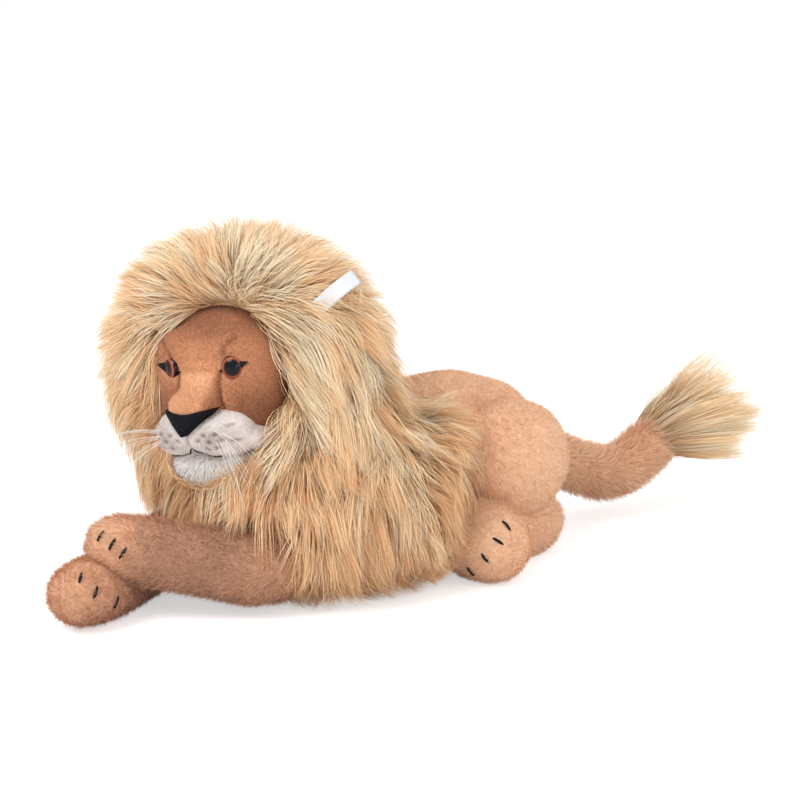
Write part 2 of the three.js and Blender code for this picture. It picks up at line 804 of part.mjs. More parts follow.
function muzzlePieces() {
  const mouthRooms = [faceRoom, chin.grown(seamGap), solidOf(noseGeometry(seamGap)), ...bothPads];
  const mouth = cut(join(...mouthGeometry()), ...mouthRooms);
  const leftPad = cut(muzzlePad(1).solid(), faceRoom, headSeam, knotSolid(1, seamGap));
  const rightRooms = [faceRoom, headSeam, knotSolid(-1, seamGap), padRooms.left];
  const rightPad = cut(muzzlePad(-1).solid(), ...rightRooms);
  const leftWhiskers = cut(whiskerSolid(1, whiskerDroop.left), padRooms.left);
  const rightWhiskers = cut(whiskerSolid(-1, whiskerDroop.right), padRooms.right);
  return [
    pieceOf("left_muzzle_pad", leftPad, materials.whitePlush),
    pieceOf("right_muzzle_pad", rightPad, materials.whitePlush),
    pieceOf("left_whiskers", leftWhiskers, materials.nylon),
    pieceOf("right_whiskers", rightWhiskers, materials.nylon),
    pieceOf("chin", cut(chin.solid(), faceRoom, headSeam, ...bothPads), materials.whitePlush),
    pieceOf("nose", cut(solidOf(noseGeometry()), faceRoom, ...bothPads), materials.blackThread),
    pieceOf("mouth_seam", mouth, materials.blackThread),
  ];
}

function headPieces() {
  const tagRoom = solidOf(tagGeometry(seamGap));
  const earOf = (side) => cut(earForm(side).solid(), skull.grown(seamGap), tagRoom);
  const softRooms = [earForm(1), earForm(-1), chin].map((form) => form.grown(seamGap));
  const hardRooms = [headSeam, headDiscRoom, boltRoom, faceOpening.solid(), tagRoom];
  const rooms = [faceRoom, ...hardRooms, ...bothPads, ...softRooms];
  return [
    ...skullPieces(),
    ...eyePieces("left", 1),
    ...eyePieces("right", -1),
    ...muzzlePieces(),
    pieceOf("left_ear", earOf(1), materials.headPlush),
    pieceOf("right_ear", earOf(-1), materials.headPlush),
    pieceOf("ear_tag", solidOf(tagGeometry()), materials.whiteRibbon),
    pieceOf("head_mane", cut(headMane.solid(), ...rooms), materials.manePile),
  ];
}

// Forelegs: each starts at its shoulder, out from the torso's side and behind the chest's front
function foreleg(side, out, behindFront, height, shares) {
  const root = new THREE.Vector3(side * (torsoWidth / 2 + out), behindFront - chestReach, height);
  const route = shares.map(({ across, forward, rise }) =>
    root.clone().addScaledVector(new THREE.Vector3(across, -forward, rise), forelegReach),
  );
  return new StuffedForm({
    route,
    width: forelegWidth,
    height: forelegHeight,
    shares: forelegSwellShares,
    fullness: 3,
    rings: 9,
    sides: 12,
  });
}
const leftForeleg = foreleg(
  1,
  leftShoulderOut,
  leftShoulderBehindFront,
  leftShoulderHeight,
  leftForelegShares,
);
const rightForeleg = foreleg(
  -1,
  rightShoulderOut,
  rightShoulderBehindFront,
  rightShoulderHeight,
  rightForelegShares,
);

// Hind legs: each part lies out from the torso's side and ahead of the rump
const rump = torsoLength - chestReach;

function hindLeg(side) {
  const besideTorso = (out, fromRump, height) =>
    new THREE.Vector3(side * (torsoWidth / 2 + out), rump - fromRump, height);
  const haunch = roundForm({
    middle: besideTorso(haunchOut, haunchFromRump, haunchMiddleHeight),
    length: haunchLength,
    width: haunchWidth,
    height: haunchHeight,
    fullness: 2.3,
    rings: 8,
    sides: 12,
  });
  const hock = roundForm({
    middle: besideTorso(hockOut, hockFromRump, hockHeight / 2 - floorCut),
    length: hockLength,
    width: hockWidth,
    height: hockHeight,
    turn: hockTurn * side,
    fullness: 2.6,
    rings: 8,
    sides: 12,
  });
  const foot = roundForm({
    middle: besideTorso(hindFootOut, hindFootFromRump, hindFootHeight / 2 - floorCut),
    length: hindFootLength,
    width: hindFootWidth,
    height: hindFootHeight,
    turn: hindFootTurn * side,
    fullness: 2.6,
    rings: 8,
    sides: 12,
  });
  return { haunch, hock, foot };
}

// Claws: short strokes on the toes, each half sunk in its paw. The turn goes round the paw from its
// +side over the top, the slant leans the stroke that way, and a mirrored paw has both mirrored.
function clawFrames(form, shares, side = 1) {
  const nudge = 0.03;
  return shares.map(({ along, turn, slant }) => {
    const angle = 2 * Math.PI * (side > 0 ? turn : 0.5 - turn);
    const place = form.pointAt(along, angle);
    const ahead = form.pointAt(along + nudge, angle).sub(place).normalize();
    const around = form.pointAt(along, angle + nudge * side).sub(place).normalize();
    const way = ahead.multiplyScalar(Math.cos(2 * Math.PI * slant));
    way.addScaledVector(around, Math.sin(2 * Math.PI * slant)).normalize();
    const turned = new THREE.Quaternion().setFromUnitVectors(new THREE.Vector3(0, 1, 0), way);
    return new THREE.Matrix4().makeRotationFromQuaternion(turned).setPosition(place);
  });
}

function clawGeometry(frame, grow = 0) {
  const stroke = new THREE.CapsuleGeometry(clawRadius + grow, clawLength - 2 * clawRadius, 1, 5);
  return stroke.applyMatrix4(frame);
}

function pawPieces(name, clawName, solid, frames, material) {
  const rooms = frames.map((frame) => solidOf(clawGeometry(frame, seamGap)));
  const paw = pieceOf(name, cut(solid, ...rooms), material);
  const claws = frames.map((frame, number) =>
    pieceFrom(`${clawName}_${number + 1}`, solidOf(clawGeometry(frame)), materials.blackThread),
  );
  return [paw, ...claws];
}

// Tail: one form whose root is cut at the rump's hinge and which is parted at its bend
const tailRoot = new THREE.Vector3(0, rump + tailRootBehindRump, torsoHeight * tailRootRiseShare);
const tailPlace = (back, rise) =>
  tailRoot.clone().addScaledVector(new THREE.Vector3(0, back, rise), tailReach);
const tail = new StuffedForm({
  route: [tailPlace(-tailRootShare, 0), ...tailRouteShares.map(({ back, rise }) => tailPlace(back, rise))],
  width: tailDiameter,
  height: tailDiameter,
  shares: tailSwellShares,
  fullness: 4,
  rings: 12,
  sides: 12,
});
const tailBend = tail.curve.getPointAt(tailBendShare);
const tailBendAlong = tail.curve.getTangentAt(tailBendShare);
const sphereAt = (place, radius) => solidOf(new THREE.SphereGeometry(radius, 16, 9).translate(...place));

function turnedAbout(solid, place, axis, angle) {
  const turn = new THREE.Matrix4().makeRotationAxis(axis.clone().normalize(), degrees(angle));
  const there = new THREE.Matrix4().makeTranslation(...place);
  const back = new THREE.Matrix4().makeTranslation(...place.clone().negate());
  return solid.transform(there.multiply(turn).multiply(back).elements);
}

// The space that a solid passes through as it turns about an axis, in a few steps
function sweptAbout(solid, place, axis, angles) {
  return join(...angles.map((angle) => turnedAbout(solid, place, axis, angle)));
}

const backwards = new THREE.Vector3(0, 1, 0);
const rootBall = (grow) => sphereAt(tailRoot, tailRootRadius + grow);
const beyondRoot = (solid) => cut(solid, solidOf(blockBeyond(tailRoot, backwards.clone().negate())));
const bendBallRadius = (tailDiameter / 2) * tailBendBallShare;

function tailPieces() {
  const base = cut(beyondRoot(tail.solid()), solidOf(blockBeyond(tailBend, tailBendAlong)));
  const bendBall = (grow) => sphereAt(tailBend, bendBallRadius + grow);
  const bendEdge = tailBend.clone().addScaledVector(tailBendAlong, tailBendGap);
  const beforeBend = solidOf(blockBeyond(bendEdge, tailBendAlong.clone().negate()));
  const end = cut(tail.solid(), beforeBend, bendBall(turningGap));
  const tuft = cut(tuftForm.solid(), tail.grown(seamGap));
  return [
    pieceOf("tail_base", join(base, rootBall(0), bendBall(0)), materials.tanPlush),
    pieceOf("tail_end", end, materials.tanPlush),
    pieceOf("tail_tuft", tuft, materials.manePile),
  ];
}

// The long hair at the tail's tip: a drop that starts on the tail and widens behind it
const tuftForm = roundForm({
  middle: tailPlace(tuftBackShare, tuftRiseShare),
  length: tuftLength,
  width: tuftWidth,
  height: tuftWidth,
  pitch: tuftPitch,
  shares: tuftSwellShares,
  rings: 8,
  sides: 12,
});

// Chest mane: the cape of long pile round the chest and shoulders, down to the floor
const chestManeLength = torsoLength + chestManeAhead - chestManeFromRump;
const chestManeBack = chestManeLength / 2 - chestManeAhead - chestReach;
const chestMane = roundForm({
  middle: new THREE.Vector3(0, chestManeBack, chestManeHeight / 2 - floorCut),
  length: chestManeLength,
  width: chestManeWidth,
  height: chestManeHeight,
  fullness: 2.8,
  corners: 3.6,
  rings: 8,
  sides: 16,
});

// The left foreleg lifts about the level line across its shoulder
const shoulderPlace = leftForeleg.curve.getPointAt(shoulderHingeShare);
const legWay = leftForeleg.curve.getPointAt(1).sub(shoulderPlace).setZ(0);
const liftAxis = new THREE.Vector3().crossVectors(legWay, unitUp).normalize();
const liftSteps = [0, 0.25, 0.5, 0.75, 1].map((share) => share * (forelegLift + forelegSpareLift));

function forelegPieces() {
  const torsoRoom = torso.grown(seamGap);
  const torsoBelow = sweptAbout(torsoRoom, shoulderPlace, liftAxis, liftSteps.map((angle) => -angle));
  const right = cut(rightForeleg.solid(), belowFloor, torsoRoom);
  const left = cut(leftForeleg.solid(), belowFloor, torsoBelow, rightForeleg.grown(seamGap));
  const leftClaws = clawFrames(leftForeleg, leftForeClawShares);
  const rightClaws = clawFrames(rightForeleg, rightForeClawShares);
  return {
    left: pawPieces("left_foreleg", "left_fore_claw", left, leftClaws, materials.tanPlush),
    right: pawPieces("right_foreleg", "right_fore_claw", right, rightClaws, materials.tanPlush),
  };
}

function hindLegPieces(side, name) {
  const { haunch, hock, foot } = hindLeg(side);
  const torsoRoom = torso.grown(seamGap);
  const haunchSolid = cut(haunch.solid(), torsoRoom, belowFloor);
  const hockSolid = cut(hock.solid(), torsoRoom, haunch.grown(seamGap), belowFloor);
  const footSolid = cut(foot.solid(), torsoRoom, haunch.grown(seamGap), hock.grown(seamGap), belowFloor);
  const frames = clawFrames(foot, hindClawShares, side);
  return [
    pieceOf(`${name}_haunch`, haunchSolid, materials.tanPlush),
    pieceOf(`${name}_hock`, hockSolid, materials.tanPlush),
    ...pawPieces(`${name}_hind_foot`, `${name}_hind_claw`, footSolid, frames, materials.tanPlush),
  ];
}

function chestManePiece() {
  const legs = [1, -1].map(hindLeg).flatMap(({ haunch, hock, foot }) => [haunch, hock, foot]);
  const rooms = [torso, rightForeleg, ...legs].map((form) => form.grown(seamGap));
  const leftRoom = sweptAbout(leftForeleg.grown(turningGap), shoulderPlace, liftAxis, liftSteps);
  const above = solidOf(aboveSeam(-seamGap / 2));
  const mane = cut(chestMane.solid(), belowFloor, above, neckHole, leftRoom, ...rooms);
  return pieceOf("chest_mane", mane, materials.manePile);
}

const swing = [-1, -0.5, 0, 0.5, 1].map((share) => share * (tailSwing + tailSpareSwing));
const tailSocket = [
  (wall) => rootBall(turningGap + wall),
  (wall) => sweptAbout(beyondRoot(tail.grown(turningGap + wall)), tailRoot, unitUp, swing),
];

const lion = new THREE.Group();
const forelegs = forelegPieces();
neckPieces();
headGroup.add(...headPieces());
lion.add(...torsoPieces(tailSocket), chestManePiece());
lion.add(...hindLegPieces(1, "left"), ...hindLegPieces(-1, "right"));
lion.add(...forelegs.left, ...forelegs.right, ...tailPieces());
lion.add(neckGroup, headGroup);

export default lion;
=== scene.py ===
"""A plush lion, lying down: smooth skins, short pile, a long mane in locks and the face's trim.

Lengths are in millimetres in the lion's own frame, and become metres where a mesh is made.
The lion looks towards -Y, its left side is +X, and the floor is at 0.
"""
import json
import math

import bpy
import numpy as np
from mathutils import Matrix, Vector
from mathutils.bvhtree import BVHTree
from mathutils.kdtree import KDTree
import openvdb


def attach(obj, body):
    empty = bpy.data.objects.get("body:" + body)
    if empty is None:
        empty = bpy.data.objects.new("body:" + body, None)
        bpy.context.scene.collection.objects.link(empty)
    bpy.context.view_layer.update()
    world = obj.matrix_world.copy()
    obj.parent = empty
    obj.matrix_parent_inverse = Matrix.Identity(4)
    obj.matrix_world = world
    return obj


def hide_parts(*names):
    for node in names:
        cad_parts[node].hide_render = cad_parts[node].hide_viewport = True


MM = 0.001
UP = np.array([0.0, 0.0, 1.0])
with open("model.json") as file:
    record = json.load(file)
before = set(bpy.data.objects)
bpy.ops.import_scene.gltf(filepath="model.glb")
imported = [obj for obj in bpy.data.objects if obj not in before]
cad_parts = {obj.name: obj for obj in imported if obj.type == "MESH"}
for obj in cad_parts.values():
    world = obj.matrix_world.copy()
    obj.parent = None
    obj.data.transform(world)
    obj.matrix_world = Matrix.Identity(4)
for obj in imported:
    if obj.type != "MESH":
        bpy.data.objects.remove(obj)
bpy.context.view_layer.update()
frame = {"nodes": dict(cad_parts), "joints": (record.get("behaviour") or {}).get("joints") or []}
nodes = frame["nodes"]
joints = {joint["name"]: joint for joint in frame["joints"]}


# Small vector helpers, for arrays of points
def unit(vectors):
    return vectors / np.maximum(np.linalg.norm(vectors, axis=-1, keepdims=True), 1e-9)


def along(vectors, way):
    """The length of each vector along a way, kept as a column."""
    return (vectors * way).sum(-1, keepdims=True)


def smooth_step(low, high, values):
    share = np.clip((values - low) / (high - low), 0, 1)
    return share * share * (3 - 2 * share)


def wavy(points, wavelength, seed):
    """A smooth wandering vector for each point, from a few sine waves, about 1 long."""
    rng = np.random.default_rng(seed)
    total = np.zeros_like(points)
    for _ in range(4):
        turn = rng.normal(size=(3, 3)) * (2 * math.pi / wavelength) / 1.7
        total += np.sin(points @ turn + rng.uniform(0, 2 * math.pi, 3))
    return total / 2


# Meshes as arrays: points in millimetres and triangles
def mesh_arrays(mesh):
    mesh.calc_loop_triangles()
    points = np.empty(len(mesh.vertices) * 3)
    mesh.vertices.foreach_get("co", points)
    triangles = np.empty(len(mesh.loop_triangles) * 3, np.int32)
    mesh.loop_triangles.foreach_get("vertices", triangles)
    return points.reshape(-1, 3) / MM, triangles.reshape(-1, 3)


def node_arrays(name):
    return mesh_arrays(nodes[name].data)


def in_scene(name, data):
    """A new object in the scene."""
    made = bpy.data.objects.new(name, data)
    bpy.context.scene.collection.objects.link(made)
    return made


def mesh_object(name, points, triangles):
    mesh = bpy.data.meshes.new(name)
    mesh.vertices.add(len(points))
    mesh.vertices.foreach_set("co", (points * MM).astype(np.float32).ravel())
    mesh.loops.add(triangles.size)
    mesh.loops.foreach_set("vertex_index", triangles.astype(np.int32).ravel())
    mesh.polygons.add(len(triangles))
    mesh.polygons.foreach_set("loop_start", np.arange(0, triangles.size, 3, dtype=np.int32))
    mesh.update(calc_edges=True)
    return in_scene(name, mesh)


def new_piece(name, form, body, material, stands_for=()):
    """A piece of the lion on a body, with the CAD nodes that it takes the place of."""
    piece = mesh_object(name, *form)
    piece.data.materials.append(material)
    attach(piece, body)
    if stands_for:
        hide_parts(*stands_for)
    return piece


def stacked(forms):
    """Several meshes as one."""
    starts = np.cumsum([0] + [len(points) for points, _ in forms[:-1]])
    triangles = [triangles + start for (_, triangles), start in zip(forms, starts)]
    return np.concatenate([points for points, _ in forms]), np.concatenate(triangles)


def normals_of(points, triangles):
    """Area-weighted normals of the vertices."""
    a, b, c = (points[triangles[:, corner]] for corner in range(3))
    faces = np.cross(b - a, c - a)
    normals = np.zeros_like(points)
    for corner in range(3):
        for axis in range(3):
            normals[:, axis] += np.bincount(triangles[:, corner], faces[:, axis], len(points))
    return unit(normals)


def smoothed(form, rounds, strength=0.6):
    """Each vertex drawn towards the middle of its neighbours, a number of rounds."""
    points, triangles = form
    pairs = np.concatenate([triangles[:, [0, 1]], triangles[:, [1, 2]], triangles[:, [2, 0]]])
    first, second = np.unique(np.sort(pairs, axis=1), axis=0).T
    count = np.bincount(first, minlength=len(points)) + np.bincount(second, minlength=len(points))
    for _ in range(rounds):
        middle = np.zeros_like(points)
        for axis in range(3):
            middle[:, axis] += np.bincount(first, points[second, axis], len(points))
            middle[:, axis] += np.bincount(second, points[first, axis], len(points))
        points = points + strength * (middle / count[:, None] - points)
    return points, triangles


def largest_island(points, triangles):
    """Only the largest connected part of a mesh."""
    label = np.arange(len(points))
    while True:
        lower = label.copy()
        np.minimum.at(lower, triangles.ravel(), np.repeat(label[triangles].min(1), 3))
        lower = lower[lower]
        if (lower == label).all():
            break
        label = lower
    kept = label == np.bincount(label).argmax()
    number = np.cumsum(kept) - 1
    return points[kept], number[triangles[kept[triangles[:, 0]]]]


def remeshed(form, voxel):
    """One closed skin of even triangles round everything that the triangles hold."""
    source = mesh_object("source", *form)
    remesh = source.modifiers.new("remesh", "REMESH")
    remesh.mode = "VOXEL"
    remesh.voxel_size = voxel * MM
    found = mesh_arrays(source.evaluated_get(bpy.context.evaluated_depsgraph_get()).to_mesh())
    bpy.data.objects.remove(source)
    return largest_island(*found)


def soft_form(node_names, voxel, rounds, swell=0.0):
    """The smooth form of some CAD solids together, swollen a little and flat on the floor."""
    form, faces = smoothed(remeshed(stacked([node_arrays(name) for name in node_names]), voxel), rounds)
    form = form + normals_of(form, faces) * swell
    form[:, 2] = np.maximum(form[:, 2], 0)
    return form, faces


def scattered(form, per_area, rng, wanted=None):
    """Random places on a surface with their normals, so many to a square millimetre."""
    points, triangles = form
    corners = points[triangles]
    faces = np.cross(corners[:, 1] - corners[:, 0], corners[:, 2] - corners[:, 0])
    area = np.linalg.norm(faces, axis=1) / 2
    if wanted is not None:
        area = area * wanted(corners.mean(1), unit(faces))
    count = int(area.sum() * per_area)
    picked = rng.choice(len(triangles), count, p=area / area.sum())
    first, second = rng.random((2, count, 1))
    over = (first + second) > 1
    first, second = np.where(over, 1 - first, first), np.where(over, 1 - second, second)
    third = 1 - first - second
    normals = normals_of(points, triangles)[triangles[picked]]
    a, b, c = (corners[picked, corner] for corner in range(3))
    places = third * a + first * b + second * c
    return places, unit(third * normals[:, 0] + first * normals[:, 1] + second * normals[:, 2])


# Materials
def linear(*shown):
    """A colour written as 0 to 255 of sRGB, as the linear colour that a shader takes."""
    shares = np.array(shown) / 255
    return tuple(np.where(shares <= 0.04045, shares / 12.92, ((shares + 0.055) / 1.055) ** 2.4)) + (1.0,)


def palette(*stops):
    """Places on a ramp with their colours."""
    return [(place, linear(*colour)) for place, *colour in stops]


class Nodes:
    """The node tree of a material or a world, with a short way to add a node and link its inputs."""

    def __init__(self, name, kind=bpy.data.materials, shader="Principled BSDF", **values):
        self.look = kind.new(name)
        self.look.use_nodes = True
        self.tree = self.look.node_tree
        self.shader = self.tree.nodes[shader]
        for socket, value in values.items():
            self.shader.inputs[socket.replace("_", " ")].default_value = value

    def add(self, kind, inputs=None, **settings):
        node = self.tree.nodes.new(kind)
        for key, value in settings.items():
            setattr(node, key, value)
        for key, value in (inputs or {}).items():
            if isinstance(value, bpy.types.NodeSocket):
                self.tree.links.new(value, node.inputs[key])
            else:
                node.inputs[key].default_value = value
        return node

    def ramp(self, factor, stops):
        node = self.add("ShaderNodeValToRGB", {"Fac": factor})
        elements = node.color_ramp.elements
        while len(elements) < len(stops):
            elements.new(0.5)
        for element, (place, colour) in zip(elements, stops):
            element.position = place
            element.color = colour
        return node.outputs["Color"]

    def link(self, output, name):
        self.tree.links.new(output, self.shader.inputs[name])

    def noise(self, size, detail):
        """A noise whose features are about so many millimetres across."""
        place = self.add("ShaderNodeTexCoord").outputs["Object"]
        inputs = {"Vector": place, "Scale": 1 / (size * MM), "Detail": detail}
        return self.add("ShaderNodeTexNoise", inputs).outputs["Fac"]

    def bump(self, height, distance):
        node = self.add("ShaderNodeBump", {"Height": height, "Distance": distance * MM})
        self.link(node.outputs["Normal"], "Normal")


def strand_material(name, tones, root_shade, roughness=0.6, warmth=0.0):
    """Hair: its tone is written across the strand map, and its roots are darker than its tips."""
    made = Nodes(name, Roughness=roughness, Specular_IOR_Level=0.25)
    place = made.add("ShaderNodeUVMap", uv_map="OFBake").outputs["UV"]
    split = made.add("ShaderNodeSeparateXYZ", {"Vector": place})
    tone = made.ramp(split.outputs["X"], tones)
    # The darker roots are partly their own browner colour and partly painted shade.
    root = (root_shade, root_shade * (1 - 0.6 * warmth), root_shade * (1 - warmth), 1)
    shade = made.ramp(split.outputs["Y"], [(0, root), (0.5, (0.93, 0.93, 0.93, 1)), (1, (1, 1, 1, 1))])
    product = made.add("ShaderNodeMix", {0: 1.0, 6: tone, 7: shade}, data_type="RGBA", blend_type="MULTIPLY")
    made.link(product.outputs[2], "Base Color")
    return made.look


def skin_material(name, tones, grain=0.9, roughness=0.95, sheen=0.15):
    """The cloth under the pile: its tone is an attribute of the mesh, broken up by fine nap."""
    made = Nodes(name, Roughness=roughness, Specular_IOR_Level=0.1, Sheen_Weight=sheen)
    tone = made.add("ShaderNodeAttribute", attribute_name="tone").outputs["Fac"]
    nap = made.noise(grain, 3.0)
    shift = made.add("ShaderNodeMath", {0: nap, 1: 0.5}, operation="SUBTRACT")
    scaled = made.add("ShaderNodeMath", {0: shift.outputs[0], 1: 0.35}, operation="MULTIPLY")
    moved = made.add("ShaderNodeMath", {0: tone, 1: scaled.outputs[0]}, operation="ADD")
    made.link(made.ramp(moved.outputs[0], tones), "Base Color")
    made.bump(nap, 0.4)
    return made.look


def grained_material(name, dark, pale, grain, detail, relief, **values):
    """A plain material whose fine grain goes from a dark shade to a pale one."""
    made = Nodes(name, **values)
    grains = made.noise(grain, detail)
    made.link(made.ramp(grains, palette((0.3, *dark), (0.7, *pale))), "Base Color")
    made.bump(grains, relief)
    return made.look


def set_tone(piece, tone):
    attribute = piece.data.attributes.new("tone", "FLOAT", "POINT")
    attribute.data.foreach_set("value", tone.astype(np.float32))


TAN = palette((0, 106, 74, 60), (0.3, 174, 131, 108), (0.55, 224, 172, 138), (0.8, 250, 206, 168),
              (1, 255, 238, 214))
FACE_TAN = palette((0, 70, 38, 24), (0.3, 156, 102, 74), (0.55, 212, 149, 109), (0.8, 244, 194, 152),
                   (1, 255, 230, 200))
GOLD = palette((0, 112, 72, 48), (0.25, 200, 148, 108), (0.5, 248, 198, 148), (0.75, 255, 218, 170),
               (1, 255, 240, 208))
WHITE = palette((0, 120, 104, 98), (0.4, 200, 186, 180), (0.75, 242, 233, 228), (0.95, 255, 252, 249))
SATIN = palette((0, 4, 4, 6), (0.72, 10, 11, 16), (0.86, 26, 29, 40), (1, 90, 94, 110))
SKIN_OF = {
    "tan_plush": skin_material("tan_skin", TAN),
    "head_plush": skin_material("face_skin", FACE_TAN),
    "white_plush": skin_material("white_skin", WHITE),
    "black_thread": skin_material("nose_satin", SATIN, 0.7, 0.6, 0.0),
    "mane_pile": skin_material("mane_backing", GOLD, 2.0),
}
PILE_OF = {
    "tan_plush": strand_material("tan_pile", TAN, 0.8),
    "head_plush": strand_material("face_pile", FACE_TAN, 0.85),
    "white_plush": strand_material("white_pile", WHITE, 0.95),
    "mane_pile": strand_material("mane_pile", GOLD, 0.48, 0.5, 0.45),
}


# Strands: thin tapered ribbons
TONES = 96
FLOOR_CLEAR = 0.35


def grown(roots, lengths, steps, heading):
    """Paths of strands, each step of them turned by the heading at its place and share."""
    path = [roots]
    for step in range(steps):
        way = heading(path[-1], (step + 0.5) / steps)
        path.append(path[-1] + way * (lengths / steps)[:, None])
    return np.stack(path, axis=1)


def above_floor(paths, rng):
    """Paths kept on or over the floor, where they lie down."""
    low = FLOOR_CLEAR + 1.5 * rng.random(paths.shape[:1])[:, None]
    paths[:, :, 2] = np.maximum(paths[:, :, 2], low)
    return paths


def gathered(paths, per_lock, pull, rng):
    """Paths drawn towards the middle strand of their lock, more at the tips."""
    count, steps = paths.shape[:2]
    leaders = rng.choice(count, max(1, count // per_lock), replace=False)
    tree = KDTree(len(leaders))
    for number, leader in enumerate(leaders):
        tree.insert(paths[leader, 0], number)
    tree.balance()
    nearest = np.array([leaders[tree.find(root)[1]] for root in paths[:, 0]])
    share = np.linspace(0, 1, steps)[None, :, None] ** 1.2
    strength = (pull * (0.75 + 0.25 * rng.random(count)))[:, None, None]
    return paths + (paths[nearest] - paths) * share * strength, nearest


def ribbons(name, paths, facing, width, tone, body, slot, rng, roll=0.6):
    """Strands along paths as one piece: each faces its root's normal, rolled at random."""
    count, steps, _ = paths.shape
    tangent = unit(np.gradient(paths, axis=1))
    side = unit(np.cross(tangent, facing[:, None, :]))
    other = np.cross(tangent, side)
    turn = rng.normal(0, roll, count)[:, None, None]
    side = side * np.cos(turn) + other * np.sin(turn)
    share = np.linspace(0, 1, steps)[None, :, None]
    half = width[:, None, None] / 2 * (1 - share**1.6)
    edges = [(paths - side * half)[:, :-1], (paths + side * half)[:, :-1]]
    rows = np.stack(edges, axis=2).reshape(count, -1, 3)
    points = np.concatenate([rows, paths[:, -1:]], axis=1)
    each = points.shape[1]
    row = np.arange(0, 2 * (steps - 2), 2)
    quads = np.stack([row, row + 1, row + 3, row, row + 3, row + 2], axis=1).reshape(-1, 3)
    strand = np.concatenate([quads, [[each - 3, each - 2, each - 1]]])
    triangles = (strand[None] + (np.arange(count) * each)[:, None, None]).reshape(-1, 3)
    piece = new_piece(name, (points.reshape(-1, 3), triangles), body, PILE_OF[slot])
    column = np.clip((tone * TONES).astype(int), 0, TONES - 1)
    across = np.empty((count, each))
    across[:, 0:-1:2] = (column / TONES)[:, None]
    across[:, 1::2] = ((column + 1) / TONES)[:, None]
    across[:, -1] = (column + 0.5) / TONES
    rise = np.append(np.repeat(np.linspace(0, 1, steps)[:-1], 2), 1.0)
    places = np.stack([across, np.broadcast_to(rise, across.shape)], axis=2).reshape(-1, 2)
    layer = piece.data.uv_layers.new(name="OFBake")
    layer.data.foreach_set("uv", places[triangles.ravel()].astype(np.float32).ravel())


# The head's own frame, from its eyes and the neck joint: across to its left, back and up
HEAD_AHEAD_OF_NECK = 20.5
HEAD_ABOVE_NECK = 41
neck = np.array(joints["neck_turn"]["pos_m"]) / MM
neck_axis = unit(np.array(joints["neck_turn"]["axis"], float))
head_across = unit(node_arrays("left_eye")[0].mean(0) - node_arrays("right_eye")[0].mean(0))
head_back = unit(np.cross(UP, head_across))
head_axes = np.stack([head_across, head_back, np.cross(head_across, head_back)], axis=1)
head_middle = neck + np.array([0, -HEAD_AHEAD_OF_NECK, HEAD_ABOVE_NECK])


def in_head(points):
    return (points - head_middle) @ head_axes


def from_head(points):
    return np.asarray(points, float) @ head_axes.T + head_middle


def head_way(vectors):
    return np.asarray(vectors, float) @ head_axes.T


# Rough distances to soft shapes, merged and grooved, from which the head is carved
def mirrored(points):
    """Points of the head folded over to its left side."""
    return np.where([True, False, False], np.abs(points), points)


def blob(points, middle, radii, power=2.0):
    """A round form, more like a box where the power is over 2."""
    reach = (np.abs((points - middle) / radii) ** power).sum(-1) ** (1 / power)
    return (reach - 1) * min(radii)


def rod(points, start, end, radius=0, narrow=1):
    """A round-ended rod, or a stretch of line; where space is made narrower, it is so much wider."""
    p, a, b = points * narrow, np.array(start) * narrow, np.array(end) * narrow
    share = np.clip(((p - a) @ (b - a)) / ((b - a) @ (b - a)), 0, 1)[..., None]
    return np.linalg.norm(p - a - share * (b - a), axis=-1) - radius


def merged(first, second, soft):
    share = np.clip(0.5 + 0.5 * (second - first) / soft, 0, 1)
    return second * (1 - share) + first * share - soft * share * (1 - share)


def cut(first, second, soft):
    """What two forms share, with a rounded edge."""
    return -merged(-first, -second, soft)


def with_forms(points, shape, forms):
    """A distance with more forms on both sides of the head merged into it."""
    for middle, radii, power, soft in forms:
        shape = merged(shape, blob(mirrored(points), middle, radii, power), soft)
    return shape


def line_distance(points, route):
    """How far points are from a line of straight stretches."""
    return np.min([rod(points, start, end) for start, end in zip(route, route[1:])], axis=0)


# Forms in the head's frame: a middle, radii, how boxy it is, and how softly it joins the rest
EYE_ACROSS = 24
EYE_RISE = 15
SKULL = ((0, 0, 0), (47, 49, 52), 2.3)
CHEEK = ((27, -22, -9), (17, 22, 18), 2.0, 8)
TEMPLE = ((27, -22, 14), (17, 22, 18), 2.0, 8)
BROW = ((20, -36, 28), (14, 11, 9), 2.0, 7)
BRIDGE = ((0, -35, 12), (0, -47, -4), 12, np.array([1 / 1.22, 1, 1]))
BRIDGE_SOFT = 3.5
SNOUT = ((0, -50, -6.5), (17, 15.8, 8), 2.6, 3)
SOCKET = ((EYE_ACROSS, -52, EYE_RISE), (11, 8.5, 7.5))
SOCKET_SOFT = 4
PAD = ((16, -41, -25.5), (16.5, 23.5, 14.6), 2.2)
PAD_CORNER = ((25.5, -41, -23.5), (8, 14, 10.5), 2.0, 4)
PAD_LOBE = ((31, -33, -29.5), (8, 12, 8.5), 2.0, 1.2)
UNDER_NOSE = ((0, -45, -25), (14, 20, 12), 2.0, 5)
PAD_CLEFT = 3.2
CHIN = ((0, -38.5, -43.5), (24.5, 17.5, 12), 2.5)

# Seams of the face, seen from its front, with the width and the strength of their creases
SEAM_DEPTH = 2.4
SEAMS = [
    ([(16, 11), (14.8, 4), (15.6, -4), (17.6, -14)], 1.7, 1.0),
    ([(0, 14), (11, 13)], 1.7, 0.5),
    ([(21, 23), (23.5, 28), (28, 32)], 2.0, 0.6),
]


def face_seams(points, sharp=1.0):
    """How near the sewn creases of the face some points of its front are, from 0 to 1."""
    flat = mirrored(points)[:, [0, 2]]
    near = sum(strength * np.exp(-((line_distance(flat, route) / (width * sharp)) ** 2))
               for route, width, strength in SEAMS)
    return near * smooth_step(-16, -24, points[:, 1])


